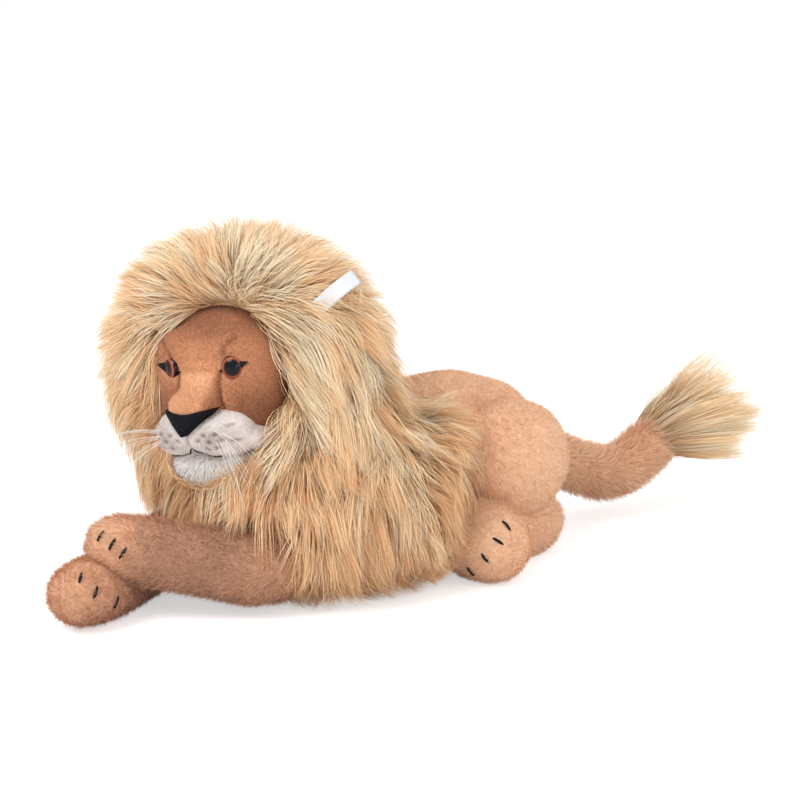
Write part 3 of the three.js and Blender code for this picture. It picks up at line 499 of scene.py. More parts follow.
def head_distance(points):
    """Rough distance from the head's cloth, without the muzzle pads and the chin."""
    shape = with_forms(points, blob(points, *SKULL), [CHEEK, TEMPLE, BROW])
    shape = with_forms(points, merged(shape, rod(points, *BRIDGE), BRIDGE_SOFT), [SNOUT])
    shape = cut(shape, -blob(mirrored(points), *SOCKET), SOCKET_SOFT)
    return shape + SEAM_DEPTH * face_seams(points)


def polygons(values, low, step):
    """The closed surface where the values on a grid cross nothing."""
    grid = openvdb.FloatGrid(3 * step)
    grid.copyFromArray(np.clip(values, -3 * step, 3 * step).astype(np.float32))
    points, _, quads = grid.convertToPolygons(isovalue=0.0, adaptivity=0.0)
    quads = np.asarray(quads, np.int64)
    triangles = np.concatenate([quads[:, [0, 1, 2]], quads[:, [0, 2, 3]]])
    points = np.asarray(points, float) * step + low
    corners = points[triangles]
    volume = np.einsum("ij,ij->i", corners[:, 0], np.cross(corners[:, 1], corners[:, 2])).sum()
    if volume < 0:
        triangles = triangles[:, ::-1]
    return largest_island(points, triangles)


def carved(distance, low, high, step, rounds):
    """A smoothed closed mesh of the surface where a distance is nothing, inside a box."""
    low = np.array(low, float)
    counts = np.ceil((np.array(high) - low) / step).astype(int) + 1
    lines = [low[axis] + step * np.arange(counts[axis]) for axis in range(3)]
    places = np.stack(np.meshgrid(*lines, indexing="ij"), -1)
    values = distance(places.reshape(-1, 3)).reshape(counts)
    return smoothed(polygons(values, low, step), rounds)


def spline(route, count):
    """Points on a smooth curve through a route."""
    route = np.asarray(route, float)
    route = np.concatenate([[2 * route[0] - route[1]], route, [2 * route[-1] - route[-2]]])
    place = np.linspace(0, len(route) - 3 - 1e-6, count)
    piece = place.astype(int)
    share = (place - piece)[:, None]
    a, b, c, d = (route[piece + step] for step in range(4))
    bend = (2 * a - 5 * b + 4 * c - d) * share**2 + (3 * b - a - 3 * c + d) * share**3
    return (2 * b + (c - a) * share + bend) / 2


def tree_of(points, triangles):
    return BVHTree.FromPolygons(points.tolist(), triangles.tolist())


def depth_in(tree, points):
    """How far outside a closed surface points are, negative inside it."""
    found = np.empty(len(points))
    for number, point in enumerate(points):
        place, normal, _, distance = tree.find_nearest(Vector(point))
        outside = (Vector(point) - place).dot(normal) > 0
        found[number] = distance if outside else -distance
    return found


DROP_START = 60


def dropped_on(tree, points, way):
    """Points moved along a way until they meet a surface."""
    landed = np.array(points, float)
    way = Vector(way)
    for number, point in enumerate(points):
        place, _, _, _ = tree.ray_cast(Vector(point) - way * DROP_START, way)
        if place is not None:
            landed[number] = place
    return landed


# Skins round CAD solids: the solids, the voxel, the rounds of smoothing and the swell
SIDES = ("left", "right")
skins = {
    "body_skin": soft_form(["torso_skin", "torso_stuffing", "left_haunch", "right_haunch"], 2.4, 22, 2.8)
}
for skin, node, voxel, rounds, swell in (
    ("hock_skin", "hock", 1.8, 14, 2.6),
    ("hind_paw", "hind_foot", 1.6, 14, 1.0),
    ("forearm", "foreleg", 1.6, 14, 1.0),
    ("ear_pad", "ear", 1.2, 12, 0.3),
):
    for side in SIDES:
        skins[f"{side}_{skin}"] = soft_form([f"{side}_{node}"], voxel, rounds, swell)

# The tail: one round form along its curve, parted before the bend
tail_root = np.array(joints["tail_swing"]["pos_m"]) / MM
tail_bend = np.array(joints["tail_curl"]["pos_m"]) / MM
TAIL_REACH = 100
TAIL_RADIUS = 15.8
TAIL_ROUTE = [(-0.14, 0), (0.2, -0.09), (0.46, -0.2), (0.72, -0.26), (0.97, -0.17), (1.2, 0.02)]
TAIL_PARTED_AHEAD = 12
TAIL_STEPS = 40
TAIL_VOXEL = 1.6
tail_line = spline([(0, back * TAIL_REACH, rise * TAIL_REACH) for back, rise in TAIL_ROUTE], TAIL_STEPS)
tail_line = tail_line + tail_root


def tail_distance(points):
    """Distance from the tail, a little fuller at its root and round at its end."""
    reach = np.full(len(points), np.inf)
    for number, middle in enumerate(tail_line):
        radius = TAIL_RADIUS * (1.03 - 0.03 * min(1, number / 14))
        radius = radius * min(1, 0.45 + (TAIL_STEPS - 1 - number) / 9)
        reach = np.minimum(reach, np.linalg.norm(points - middle, axis=1) - radius)
    return reach


tail_box = (tail_line.min(0) - 20, tail_line.max(0) + 20)
tail_parting = tail_bend[1] - TAIL_PARTED_AHEAD
for name, side in (("tail_base_skin", 1), ("tail_end_skin", -1)):

    def part_distance(points):
        return np.maximum(tail_distance(points), side * (points[:, 1] - tail_parting))

    skins[name] = carved(part_distance, *tail_box, TAIL_VOXEL, 3)

# The head's cloth, the white muzzle and chin, and the nose
HEAD_BOX = (np.array([-60, -70, -70]), np.array([60, 65, 70]))
DIMPLE_REACH = 1.1
DIMPLE_DEPTH = 1.1
DIMPLE_STRETCH = 1.7
WHISKER_DIMPLES = [
    (8, -27), (13, -23.5), (17, -27.5), (21, -23), (24.5, -26.5), (28, -18.5), (30, -28), (14, -32),
    (21, -31.5),
]


def head_form(distance, step, rounds, low=HEAD_BOX[0]):
    """A form of the head, carved in its frame and brought to the lion's."""
    points, triangles = carved(distance, low, HEAD_BOX[1], step, rounds)
    return from_head(points), triangles


def dimples(points):
    """How near the whiskers' dimples some points of the muzzle are, from 0 to 1."""
    near = np.zeros(len(points))
    for across, rise in WHISKER_DIMPLES:
        gap = np.hypot((np.abs(points[:, 0]) - across) / DIMPLE_STRETCH, points[:, 2] - rise)
        near = np.maximum(near, np.exp(-((gap / DIMPLE_REACH) ** 2)))
    return near * smooth_step(-40, -48, points[:, 1])


def muzzle_distance(points):
    pads = with_forms(points, blob(mirrored(points), *PAD), [PAD_CORNER, PAD_LOBE, UNDER_NOSE])
    return pads + DIMPLE_DEPTH * dimples(points)


def chin_distance(points):
    return blob(points, *CHIN)


# The nose: a soft triangle of satin thread on the front of the muzzle, which sags in its middle
NOSE_TOP = -8.3
NOSE_TIP = -21.3
NOSE_HALF = 18.5
NOSE_SAG = 2.3
NOSE_SAG_REACH = 9
NOSE_TAPER = 0.88
NOSE_FRONT = -67.2
NOSE_SLANT = 1.6
NOSE_BEND = 0.0164
NOSE_WALL = 14
NOSE_EDGE = 2.2


def nose_distance(points):
    deep = NOSE_TOP - NOSE_TIP
    height = points[:, 2] + NOSE_SAG * np.exp(-((points[:, 0] / NOSE_SAG_REACH) ** 2))
    share = np.clip((NOSE_TOP - height) / deep, 0, 1)
    across = np.abs(points[:, 0])
    past_edge = (across - NOSE_HALF * (1 - NOSE_TAPER * share)) * 0.75
    flat = np.maximum(past_edge, np.abs(height - NOSE_TOP + deep / 2) - deep / 2)
    front = NOSE_FRONT - NOSE_SLANT * share + NOSE_BEND * across**2
    past_front = np.maximum(front - points[:, 1], points[:, 1] - front - NOSE_WALL)
    return cut(flat, past_front, NOSE_EDGE)


skins["head_cloth"] = head_form(head_distance, 1.2, 2)
for name, side in (("left_muzzle", 1), ("right_muzzle", -1)):

    def half_distance(points):
        return cut(muzzle_distance(points), 0.1 - side * points[:, 0], PAD_CLEFT)

    skins[name] = head_form(half_distance, 1.0, 1)
skins["chin_pad"] = head_form(chin_distance, 1.2, 2)
skins["nose_pad"] = head_form(nose_distance, 0.8, 3, HEAD_BOX[0] - np.array([0, 10, 0]))

# The backing of the mane lies so far inside the CAD solids, with the dips between them closed
MANE_DEPTH = 16
MANE_CLOSING = 20
MANE_GRID = 3.0
MANE_NODES = ["head_mane", "chest_mane", "head_skin", "torso_skin", "chin"]
CHEST_BACK = 16
JAW_FILL = 7
mane_points = np.concatenate([node_arrays(name)[0] for name in MANE_NODES])
mane_low = mane_points.min(0) - MANE_CLOSING - 3 * MANE_GRID
mane_high = mane_points.max(0) + MANE_CLOSING + 3 * MANE_GRID
mane_counts = np.ceil((mane_high - mane_low) / MANE_GRID).astype(int) + 1
mane_box = (mane_low, mane_low + (mane_counts - 1) * MANE_GRID)


def solid_distances(points, triangles):
    """Distances from one closed mesh on the mane's grid, up to a reach, negative inside it."""
    grid = openvdb.FloatGrid.createLevelSetFromPolygons(
        (points - mane_low).astype(np.float32),
        triangles=np.ascontiguousarray(triangles, np.uint32),
        transform=openvdb.createLinearTransform(voxelSize=MANE_GRID),
        halfWidth=(MANE_CLOSING + MANE_DEPTH + 2 * MANE_GRID) / MANE_GRID,
    )
    values = np.empty(mane_counts, np.float32)
    grid.copyToArray(values)
    return values


joined = np.min([solid_distances(*node_arrays(name)) for name in MANE_NODES], axis=0)
mane_depths = solid_distances(*polygons(joined - MANE_CLOSING, mane_low, MANE_GRID)) + MANE_CLOSING


def under_mane(points):
    """How far outside the surface of the closed CAD manes points are."""
    place = np.clip(np.rint((points - mane_low) / MANE_GRID).astype(int), 0, mane_counts - 1)
    return mane_depths[tuple(place.T)]


def seam_side(points):
    """How far points are above the plane in which the head turns on the body."""
    return (points - neck) @ neck_axis


# The room that the mane leaves open for the face: half its width, and its height up and down
HAIRLINE_BACK = -18
HAIRLINE_HALF = 47
HAIRLINE_ABOVE = 46
HAIRLINE_BELOW = 47
HAIRLINE_FLARE = 0.35


def face_room(points):
    """Rough distance from the room that the mane leaves open for the face."""
    local = in_head(points)
    flare = 1 + HAIRLINE_FLARE * np.maximum(0, HAIRLINE_BACK - local[:, 1]) / HAIRLINE_HALF
    height = np.where(local[:, 2] > 0, HAIRLINE_ABOVE, HAIRLINE_BELOW)
    reach = np.hypot(local[:, 0] / HAIRLINE_HALF, local[:, 2] / height)
    return np.maximum((reach - flare) * HAIRLINE_HALF, local[:, 1] - HAIRLINE_BACK)


def head_core_distance(points):
    local = in_head(points)
    jaw = smooth_step(-2, -20, local[:, 2]) * smooth_step(20, 0, local[:, 1])
    outer = under_mane(points) + MANE_DEPTH - JAW_FILL * jaw
    return np.maximum(cut(outer, -face_room(points), 6), 1 - seam_side(points))


def chest_core_distance(points):
    ended = cut(under_mane(points) + MANE_DEPTH, points[:, 1] - CHEST_BACK, 12)
    return np.maximum(np.maximum(ended, seam_side(points) + 1), 0.5 - points[:, 2])


skins["head_mane_backing"] = carved(head_core_distance, *mane_box, MANE_GRID, 2)
skins["chest_mane_backing"] = carved(chest_core_distance, *mane_box, MANE_GRID, 2)
trees = {name: tree_of(*skin) for name, skin in skins.items()}

# What each skin rides on, takes its finish from and stands for
SKIN_ROWS = {
    "body_skin": ("torso", "tan_plush", ["torso_skin", "left_haunch", "right_haunch"]),
    "left_hock_skin": ("torso", "tan_plush", ["left_hock"]),
    "right_hock_skin": ("torso", "tan_plush", ["right_hock"]),
    "left_hind_paw": ("torso", "tan_plush", ["left_hind_foot"]),
    "right_hind_paw": ("torso", "tan_plush", ["right_hind_foot"]),
    "left_forearm": ("left_foreleg", "tan_plush", ["left_foreleg"]),
    "right_forearm": ("torso", "tan_plush", ["right_foreleg"]),
    "tail_base_skin": ("tail_base", "tan_plush", ["tail_base"]),
    "tail_end_skin": ("tail_end", "tan_plush", ["tail_end"]),
    "head_cloth": ("head", "head_plush", ["head_skin"]),
    "left_ear_pad": ("head", "head_plush", ["left_ear"]),
    "right_ear_pad": ("head", "head_plush", ["right_ear"]),
    "left_muzzle": ("head", "white_plush", ["left_muzzle_pad"]),
    "right_muzzle": ("head", "white_plush", ["right_muzzle_pad"]),
    "chin_pad": ("head", "white_plush", ["chin"]),
    "nose_pad": ("head", "black_thread", ["nose"]),
    "head_mane_backing": ("head", "mane_pile", ["head_mane"]),
    "chest_mane_backing": ("torso", "mane_pile", ["chest_mane"]),
}
rng = np.random.default_rng(7)


def tone_of(points, base, spread, wavelength, seed):
    """A tone for each point, which wanders softly about a base."""
    return base + spread * wavy(points, wavelength, seed)[:, 0]


crease_trees = [tree_of(*node_arrays(name)) for name in ("torso_skin", "left_haunch", "right_haunch")]
CREASE_REACH = 6.5


def haunch_crease_shade(points):
    """How near the folds where the haunches meet the torso some points are, from 0 to 1."""
    torso, *haunches = (np.abs(depth_in(tree, points)) for tree in crease_trees)
    return np.exp(-((np.maximum(torso, np.minimum(*haunches)) / CREASE_REACH) ** 2))


# How light the short pile is: painted shade under the mane, low on the body and in the haunches' creases,
# and painted light and shade on the head
def body_tone(points):
    # Painted shade darkens the pile in the folds where the haunches meet the torso.
    tone = tone_of(points, 0.8, 0.03, 60, 11) - 0.22 * haunch_crease_shade(points)
    # Painted shade: the forelegs darker under the mane, less so out at the paws.
    foreleg = smooth_step(-80, -110, points[:, 1]) * smooth_step(80, 50, points[:, 2])
    foreleg = foreleg - 0.5 * smooth_step(-180, -210, points[:, 1])
    tail = smooth_step(125, 150, points[:, 1])
    # Painted shade low on the body, near the floor.
    return tone - 0.08 * smooth_step(30, 5, points[:, 2]) - 0.34 * foreleg - 0.05 * tail


def head_tone(points):
    local = in_head(points)
    across, back, rise = np.abs(local[:, 0]), local[:, 1], local[:, 2]
    # Painted light on the bridge of the nose; painted shade at the hairline, on the low cheeks beside the
    # mane, at the rim where the face meets the mane and along its seams.
    bridge_light = smooth_step(17, 10, across) * smooth_step(20, 11, rise)
    eyes = smooth_step(32, 16, across) * smooth_step(36, 24, rise) * smooth_step(0, 12, rise)
    hairline_shade = smooth_step(24, 46, rise)
    low = smooth_step(18, 30, across) * smooth_step(10, -14, rise)
    rim = smooth_step(-28, -18, back)
    tone = tone_of(points, 0.5, 0.025, 40, 12) + 0.08 * eyes + 0.16 * bridge_light
    return tone - 0.12 * hairline_shade - 0.22 * low - 0.22 * rim - 0.2 * face_seams(local, 1.1)


def white_tone(points):
    local = in_head(points)
    tone = tone_of(points, 0.72, 0.05, 14, 13)
    # Painted shade on the pads: in the whisker dimples, in their middle and towards their back; the chin
    # below keeps its white.
    pads = local[:, 2] > -40
    middle = np.exp(-(((np.abs(local[:, 0]) - 19) / 10) ** 2) - ((local[:, 2] + 25) / 7) ** 2)
    lobe_shade = smooth_step(-46, -34, local[:, 1])
    return tone - 0.36 * dimples(local) - pads * (0.32 * middle + 0.24 * lobe_shade) + 0.3 * (1 - pads)


def mane_tone(points):
    return tone_of(points, 0.78, 0.06, 70, 14)


def backing_tone(points):
    # Painted shade: the backing dark brown at the hairline round the face, where the face meets the mane.
    return mane_tone(points) - 0.62 * smooth_step(9, -2, face_room(points)) * (seam_side(points) > -60)


TONE_OF = {"head_plush": head_tone, "white_plush": white_tone, "mane_pile": backing_tone}


def tone_at(slot, points):
    return TONE_OF.get(slot, body_tone)(points)


for name, (body, slot, stands_for) in SKIN_ROWS.items():
    piece = new_piece(name, skins[name], body, SKIN_OF[slot], stands_for)
    set_tone(piece, tone_at(slot, skins[name][0]) - 0.06)

# Claws: short strokes of black thread on the paws
CLAWS = {
    f"{side}_{paw}": [f"{side}_{limb}_claw_{number + 1}" for number in range(count)]
    for paw, limb, count in (("forearm", "fore", 3), ("hind_paw", "hind", 4))
    for side in SIDES
}
CLAW_LENGTH = 8.5
CLAW_CLEAR = 1.3


def claw_line(node):
    """A claw's middle and the way in which it points."""
    points = node_arrays(node)[0]
    middle = (points.min(0) + points.max(0)) / 2
    _, _, ways = np.linalg.svd(points - points.mean(0))
    return middle, ways[0]


# Short pile: its length, its steps and what lies against each skin, so that no pile grows there
FORE = {"length": 5.4, "lean": 0.85, "steps": 3}
TAIL = {"per_area": 1.3, "steps": 3}
FINE = {"length": 1.8, "width": 0.28, "per_area": 3.0}
MUZZLE_BESIDE = ["nose_pad", "head_cloth"]
PILE = {
    "body_skin": ({"length": 3.6}, ["left_hock_skin", "right_hock_skin", "right_forearm",
                                    "chest_mane_backing", "left_forearm"]),
    "left_hock_skin": ({}, ["body_skin", "left_hind_paw"]),
    "right_hock_skin": ({}, ["body_skin", "right_hind_paw"]),
    "left_hind_paw": ({"length": 3.6}, ["body_skin", "left_hock_skin"]),
    "right_hind_paw": ({"length": 3.6}, ["body_skin", "right_hock_skin"]),
    "left_forearm": (FORE, ["chest_mane_backing"]),
    "right_forearm": (FORE, ["chest_mane_backing", "body_skin"]),
    "tail_base_skin": ({**TAIL, "length": 8.0}, ["body_skin"]),
    "tail_end_skin": ({**TAIL, "length": 8.5}, []),
    "head_cloth": ({**FINE, "width": 0.3}, ["left_muzzle", "right_muzzle", "chin_pad", "nose_pad",
                                            "head_mane_backing"]),
    "left_muzzle": (FINE, MUZZLE_BESIDE),
    "right_muzzle": (FINE, MUZZLE_BESIDE),
    "chin_pad": ({"length": 6.5, "width": 0.36, "per_area": 3.4, "steps": 3},
                 ["left_muzzle", "right_muzzle", "head_cloth"]),
    "left_ear_pad": ({"length": 3.0}, ["head_cloth"]),
    "right_ear_pad": ({"length": 3.0}, ["head_cloth"]),
}
EYE_BARE = (9, 6.5)
BESIDE_CLEAR = 0.4
nose_middle = skins["nose_pad"][0].mean(0)
PAWS_COMB = {
    "left_forearm": np.array([-0.27, -0.96, 0]),
    "right_forearm": np.array([0.6, -0.8, 0]),
    "left_hind_paw": np.array([-0.2, -1, -0.2]),
    "right_hind_paw": np.array([0.2, -1, -0.2]),
}


def comb_of(name, slot, points):
    """The way in which the short pile lies at some points."""
    if name in PAWS_COMB:
        return unit(PAWS_COMB[name] + 0.3 * wavy(points, 30, 21))
    if slot == "head_plush":
        return unit(points - nose_middle)
    if slot == "white_plush":
        return unit(points - nose_middle - 6 * UP)
    if name.startswith("tail"):
        return unit(np.array([0, 1, 0]) + 0.4 * wavy(points, 22, 22))
    return unit(np.array([0, 0.8, -0.5]) + 0.35 * wavy(points, 40, 23))


def shown_share(name, centres):
    """1 where a skin is in the open, 0 where its neighbours, an eye or a claw cover it."""
    open_there = np.ones(len(centres))
    if name == "head_cloth":
        local = in_head(centres)
        across = (np.abs(local[:, 0]) - EYE_ACROSS) / EYE_BARE[0]
        rise = (local[:, 2] - EYE_RISE) / EYE_BARE[1]
        open_there[(across**2 + rise**2 < 1) & (local[:, 1] < -20)] = 0
    for claw in CLAWS.get(name, []):
        middle, way = claw_line(claw)
        beside = centres - middle
        near = np.linalg.norm(beside, axis=1) < CLAW_LENGTH / 2 + 1
        beside = beside - along(beside, way) * way
        open_there[near & (np.linalg.norm(beside, axis=1) < CLAW_CLEAR)] = 0
    for neighbour in PILE[name][1]:
        low, high = skins[neighbour][0].min(0) - 2, skins[neighbour][0].max(0) + 2
        near = np.flatnonzero(((centres > low) & (centres < high)).all(1))
        if len(near):
            open_there[near] *= depth_in(trees[neighbour], centres[near]) > BESIDE_CLEAR
    return open_there


def short_pile(name, length=4.2, width=0.42, per_area=1.0, steps=2, lean=0.75):
    body, slot, _ = SKIN_ROWS[name]

    def wanted(centres, normals):
        return shown_share(name, centres) * np.where(centres[:, 2] < 0.6, 0, 1)

    roots, normals = scattered(skins[name], per_area, rng, wanted)
    comb = comb_of(name, slot, roots)
    comb = unit(comb - along(comb, normals) * normals)
    jitter = rng.normal(0, 0.28, roots.shape)
    lengths = length * rng.uniform(0.65, 1.2, len(roots))

    def heading(places, share):
        return unit(normals * (1.1 - lean * share) + comb * lean * (0.45 + share) + jitter)

    paths = above_floor(grown(roots - normals * 0.4, lengths, steps, heading), rng)
    tone = tone_at(slot, roots) + rng.normal(0, 0.06, len(roots))
    widths = width * rng.uniform(0.7, 1.25, len(roots))
    ribbons(f"{name}_pile", paths, normals, widths, tone, body, slot, rng, 0.9)


for name, (settings, _) in PILE.items():
    short_pile(name, **settings)

# Long pile: the mane on the head and on the chest, kept out of these rooms round the face
FACE_ROOMS = [
    ((0, 0, 0), (50, 57, 54.5)),
    ((0, -36, -24), (33, 36, 32)),
    ((0, -38, -42), (30, 32, 21)),
]
MANE_LENGTH = 50
MANE_WIDTH = 0.55
MANE_STEPS = 6
MANE_PROUD = 5.5
MANE_PROUD_SPREAD = 4
MANE_PROUD_BEHIND = 8
MANE_PROUD_MOST = 12
PARTS = 4
PARTING = np.array([15, -34, 36])
FINE_LOCK = 14


def off_face(paths):
    """Paths pushed out of the head and its muzzle."""
    local = in_head(paths)
    for middle, radii in FACE_ROOMS:
        reach = np.linalg.norm((local - middle) / radii, axis=-1, keepdims=True)
        local = np.where(reach < 1, middle + (local - middle) / np.maximum(reach, 0.2), local)
    return from_head(local)


def head_flow(places, share):
    """The way in which the mane falls from its parting round the face, at some points of it."""
    local = in_head(places)
    away = (local - PARTING) * np.array([1, 0.35, 1])
    away = away / np.maximum(np.linalg.norm(away, axis=1, keepdims=True), 22)
    back = 0.1 + 0.5 * smooth_step(-10, 40, local[:, 1])[:, None]
    fall = 0.12 + 0.75 * smooth_step(60, -20, local[:, 2])[:, None] + 0.45 * share
    fall = fall + 0.6 * smooth_step(20, 55, local[:, 1])[:, None]
    return head_way(away + back * np.array([0, 1, 0])) - fall * UP


def chest_flow(places, share):
    """The way in which the mane falls from the neck over the chest and the shoulders."""
    out = (places - np.array([0, -54, 0])) * np.array([1, 1, 0])
    out = out / np.maximum(np.linalg.norm(out, axis=1, keepdims=True), 60)
    return 0.55 * out - (0.9 + 0.4 * share) * UP + np.array([0, 0.12, 0])


def kept_under(paths, proud):
    """Paths shortened so that their tips stand only so far out of the CAD manes."""
    roots = paths[:, 0]
    low, high = under_mane(roots), under_mane(paths[:, -1])
    kept = np.clip((proud - low) / np.maximum(high - low, 1), 0.35, 1)
    return roots[:, None] + (paths - roots[:, None]) * kept[:, None, None]


def long_pile(name, skin, per_area, flow, wanted):
    roots, normals = scattered(skins[skin], per_area, rng, wanted)
    count = len(roots)
    across, back = in_head(roots)[:, :2].T
    lengths = MANE_LENGTH * np.clip(rng.normal(1, 0.2, count), 0.5, 1.5)
    bristle = 1.0 - 0.5 * smooth_step(5, 45, across[:, None])
    sway = 0.28 * wavy(roots, 26, 31) + 0.14 * wavy(roots, 9, 32) + rng.normal(0, 0.09, roots.shape)

    def heading(places, share):
        way = flow(places, share)
        way = way - along(way, normals) * normals * (1 - 0.5 * share)
        lift = bristle * (1 - share) ** 1.4 + 0.04
        way = unit(unit(way) * (0.45 + 0.75 * share) + normals * lift + sway * (0.5 + share))
        sink = smooth_step(16, 2, places[:, 2])[:, None] * (way[:, 2:] < 0)
        return unit(way * np.where([True, True, False], 1, 1 - sink) + 0.3 * sink * normals)

    paths = grown(roots, lengths, MANE_STEPS, heading)
    paths, fine = gathered(paths, FINE_LOCK, 0.7, rng)
    paths, coarse = gathered(paths, 100, 0.45, rng)
    proud = rng.normal(MANE_PROUD, MANE_PROUD_SPREAD, count) + MANE_PROUD_BEHIND * smooth_step(10, 45, back)
    paths = above_floor(off_face(kept_under(paths, np.minimum(proud, MANE_PROUD_MOST))), rng)
    lock_tone = rng.normal(0, 0.115, count)
    tone = mane_tone(roots) + lock_tone[fine] + lock_tone[coarse] + rng.normal(0, 0.05, count)
    # Painted shade: the mane darker towards its bottom, and round the face where its roots meet the head.
    tone = tone + 0.05 - 0.29 * smooth_step(150, 20, roots[:, 2])
    tone = tone - 0.1 * smooth_step(14, 0, face_room(roots)) * (seam_side(roots) > 0)
    width = MANE_WIDTH * rng.uniform(0.6, 1.25, count)
    body, slot, _ = SKIN_ROWS[skin]
    for part, chosen in enumerate(np.array_split(np.argsort(across), PARTS)):
        ribbons(f"{name}_{part + 1}", paths[chosen], normals[chosen], width[chosen], tone[chosen],
                body, slot, rng)


def head_wanted(centres, normals):
    lower = (seam_side(centres) < 4) * (under_mane(centres) < -MANE_DEPTH - 12)
    return (1 - lower) * (depth_in(trees["head_cloth"], centres) > 0.5)


def chest_wanted(centres, normals):
    upper = smooth_step(0.5, 0.95, normals @ neck_axis) * (under_mane(centres) < -MANE_DEPTH - 25)
    return (1 - upper) * (centres[:, 2] > 3) * (depth_in(trees["body_skin"], centres) > 0.5)


long_pile("head_mane_hair", "head_mane_backing", 0.85, head_flow, head_wanted)
long_pile("chest_mane_hair", "chest_mane_backing", 0.75, chest_flow, chest_wanted)

# The tail's tuft: long hair that fans out from the end of the tail
TUFT_LENGTH = 66
TUFT_STEPS = 7
TUFT_WAY = np.array([0, 0.62, -0.4])
TUFT_ROOM = 40
TUFT_START = 14
TUFT_PER_AREA = 1.6
TUFT_CORE = 9
TUFT_CORE_BACK = 10
TUFT_CORE_AHEAD = 8
tail_tip, tail_way = tail_line[-1], unit(tail_line[-1] - tail_line[-6])


def tuft_distance(points):
    ends = tail_tip - TUFT_CORE_BACK * tail_way, tail_tip + TUFT_CORE_AHEAD * tail_way
    return rod(points, *ends, TUFT_CORE)


def near_tail_tip(centres, normals):
    return (centres - tail_tip) @ tail_way > -TUFT_START - 4 * rng.random(len(centres))


tuft_core = carved(tuft_distance, tail_tip - TUFT_ROOM, tail_tip + TUFT_ROOM, TAIL_VOXEL, 0)
mane_skin = SKIN_OF["mane_pile"]
piece = new_piece("tail_tuft_backing", tuft_core, "tail_end", mane_skin, ["tail_tuft"])
set_tone(piece, mane_tone(tuft_core[0]))


def tuft():
    roots, normals = scattered(skins["tail_end_skin"], TUFT_PER_AREA, rng, near_tail_tip)
    more, facing = scattered(tuft_core, TUFT_PER_AREA, rng)
    roots, normals = np.concatenate([roots, more]), np.concatenate([normals, facing])
    count = len(roots)
    lengths = TUFT_LENGTH * np.clip(rng.normal(1, 0.16, count), 0.5, 1.35)
    outward = unit(roots - tail_tip - along(roots - tail_tip, tail_way) * tail_way)
    sway = 0.16 * wavy(roots, 16, 41) + rng.normal(0, 0.05, roots.shape)
    spread = rng.uniform(0.05, 0.85, (count, 1))

    def heading(places, share):
        out = outward * spread * (1.25 - 0.9 * share)
        return unit(tail_way * (0.55 + 0.4 * share) + out + sway + (0.2 - 0.4 * share) * UP + TUFT_WAY)

    paths = grown(roots, lengths, TUFT_STEPS, heading)
    paths, fine = gathered(paths, FINE_LOCK, 0.6, rng)
    paths, coarse = gathered(paths, 120, 0.55, rng)
    lock_tone = rng.normal(0, 0.07, count)
    tone = 0.9 + lock_tone[fine] + lock_tone[coarse] + rng.normal(0, 0.05, count)
    width = MANE_WIDTH * rng.uniform(0.6, 1.1, count)
    ribbons("tail_tuft_hair", paths, normals, width, tone, "tail_end", "mane_pile", rng)


tuft()


# Small closed forms: a slab between two sheets of points, and tubes along routes
def slab(top, bottom):
    rows, columns = top.shape[:2]
    points = np.concatenate([top.reshape(-1, 3), bottom.reshape(-1, 3)])
    number = np.arange(rows * columns).reshape(rows, columns)
    a, b, c, d = number[:-1, :-1], number[1:, :-1], number[1:, 1:], number[:-1, 1:]
    upper = np.stack([a, b, c, a, c, d], axis=-1).reshape(-1, 3)
    rim = np.concatenate([number[:-1, 0], number[-1, :-1], number[:0:-1, -1], number[0, :0:-1]])
    after = np.roll(rim, -1)
    under = rows * columns
    walls = np.stack([rim, rim + under, after + under, rim, after + under, after], axis=-1).reshape(-1, 3)
    return points, np.concatenate([upper, upper[:, ::-1] + under, walls])


def rings(rounds, ends):
    """A closed form through rings of points, capped by a point at each end."""
    count, sides = rounds.shape[:2]
    ring = np.arange(sides)
    after = np.roll(ring, -1)
    a, b = ((np.arange(count - 1)[:, None] * sides + place).ravel() for place in (ring, after))
    wall = np.stack([a, b, b + sides, a, b + sides, a + sides], axis=1).reshape(-1, 3)
    last, low = (count - 1) * sides, count * sides
    foot = np.stack([after, ring, np.full(sides, low)], axis=1)
    head = np.stack([ring + last, after + last, np.full(sides, low + 1)], axis=1)
    return np.concatenate([rounds.reshape(-1, 3), ends]), np.concatenate([wall, foot, head])


def circle(sides):
    angle = 2 * math.pi * np.arange(sides) / sides
    return np.cos(angle)[:, None], np.sin(angle)[:, None]


def tubes(routes, radii, sides):
    """Closed tubes along routes, all as one mesh."""
    forms = []
    across, up = circle(sides)
    for route, radius in zip(routes, radii):
        tangent = unit(np.gradient(route, axis=0))
        first = unit(np.cross(tangent, UP + 0.01))
        second = np.cross(tangent, first)
        rounds = route[:, None] + (first[:, None] * across + second[:, None] * up) * radius[:, None, None]
        forms.append(rings(rounds, route[[0, -1]]))
    return stacked(forms)


black_thread = grained_material("black_thread", (8, 8, 10), (30, 27, 31), 0.5, 3.0, 0.15,
                                Roughness=0.6, Specular_IOR_Level=0.2)


def thread_piece(name, form, body, stands_for):
    new_piece(name, form, body, black_thread, stands_for)


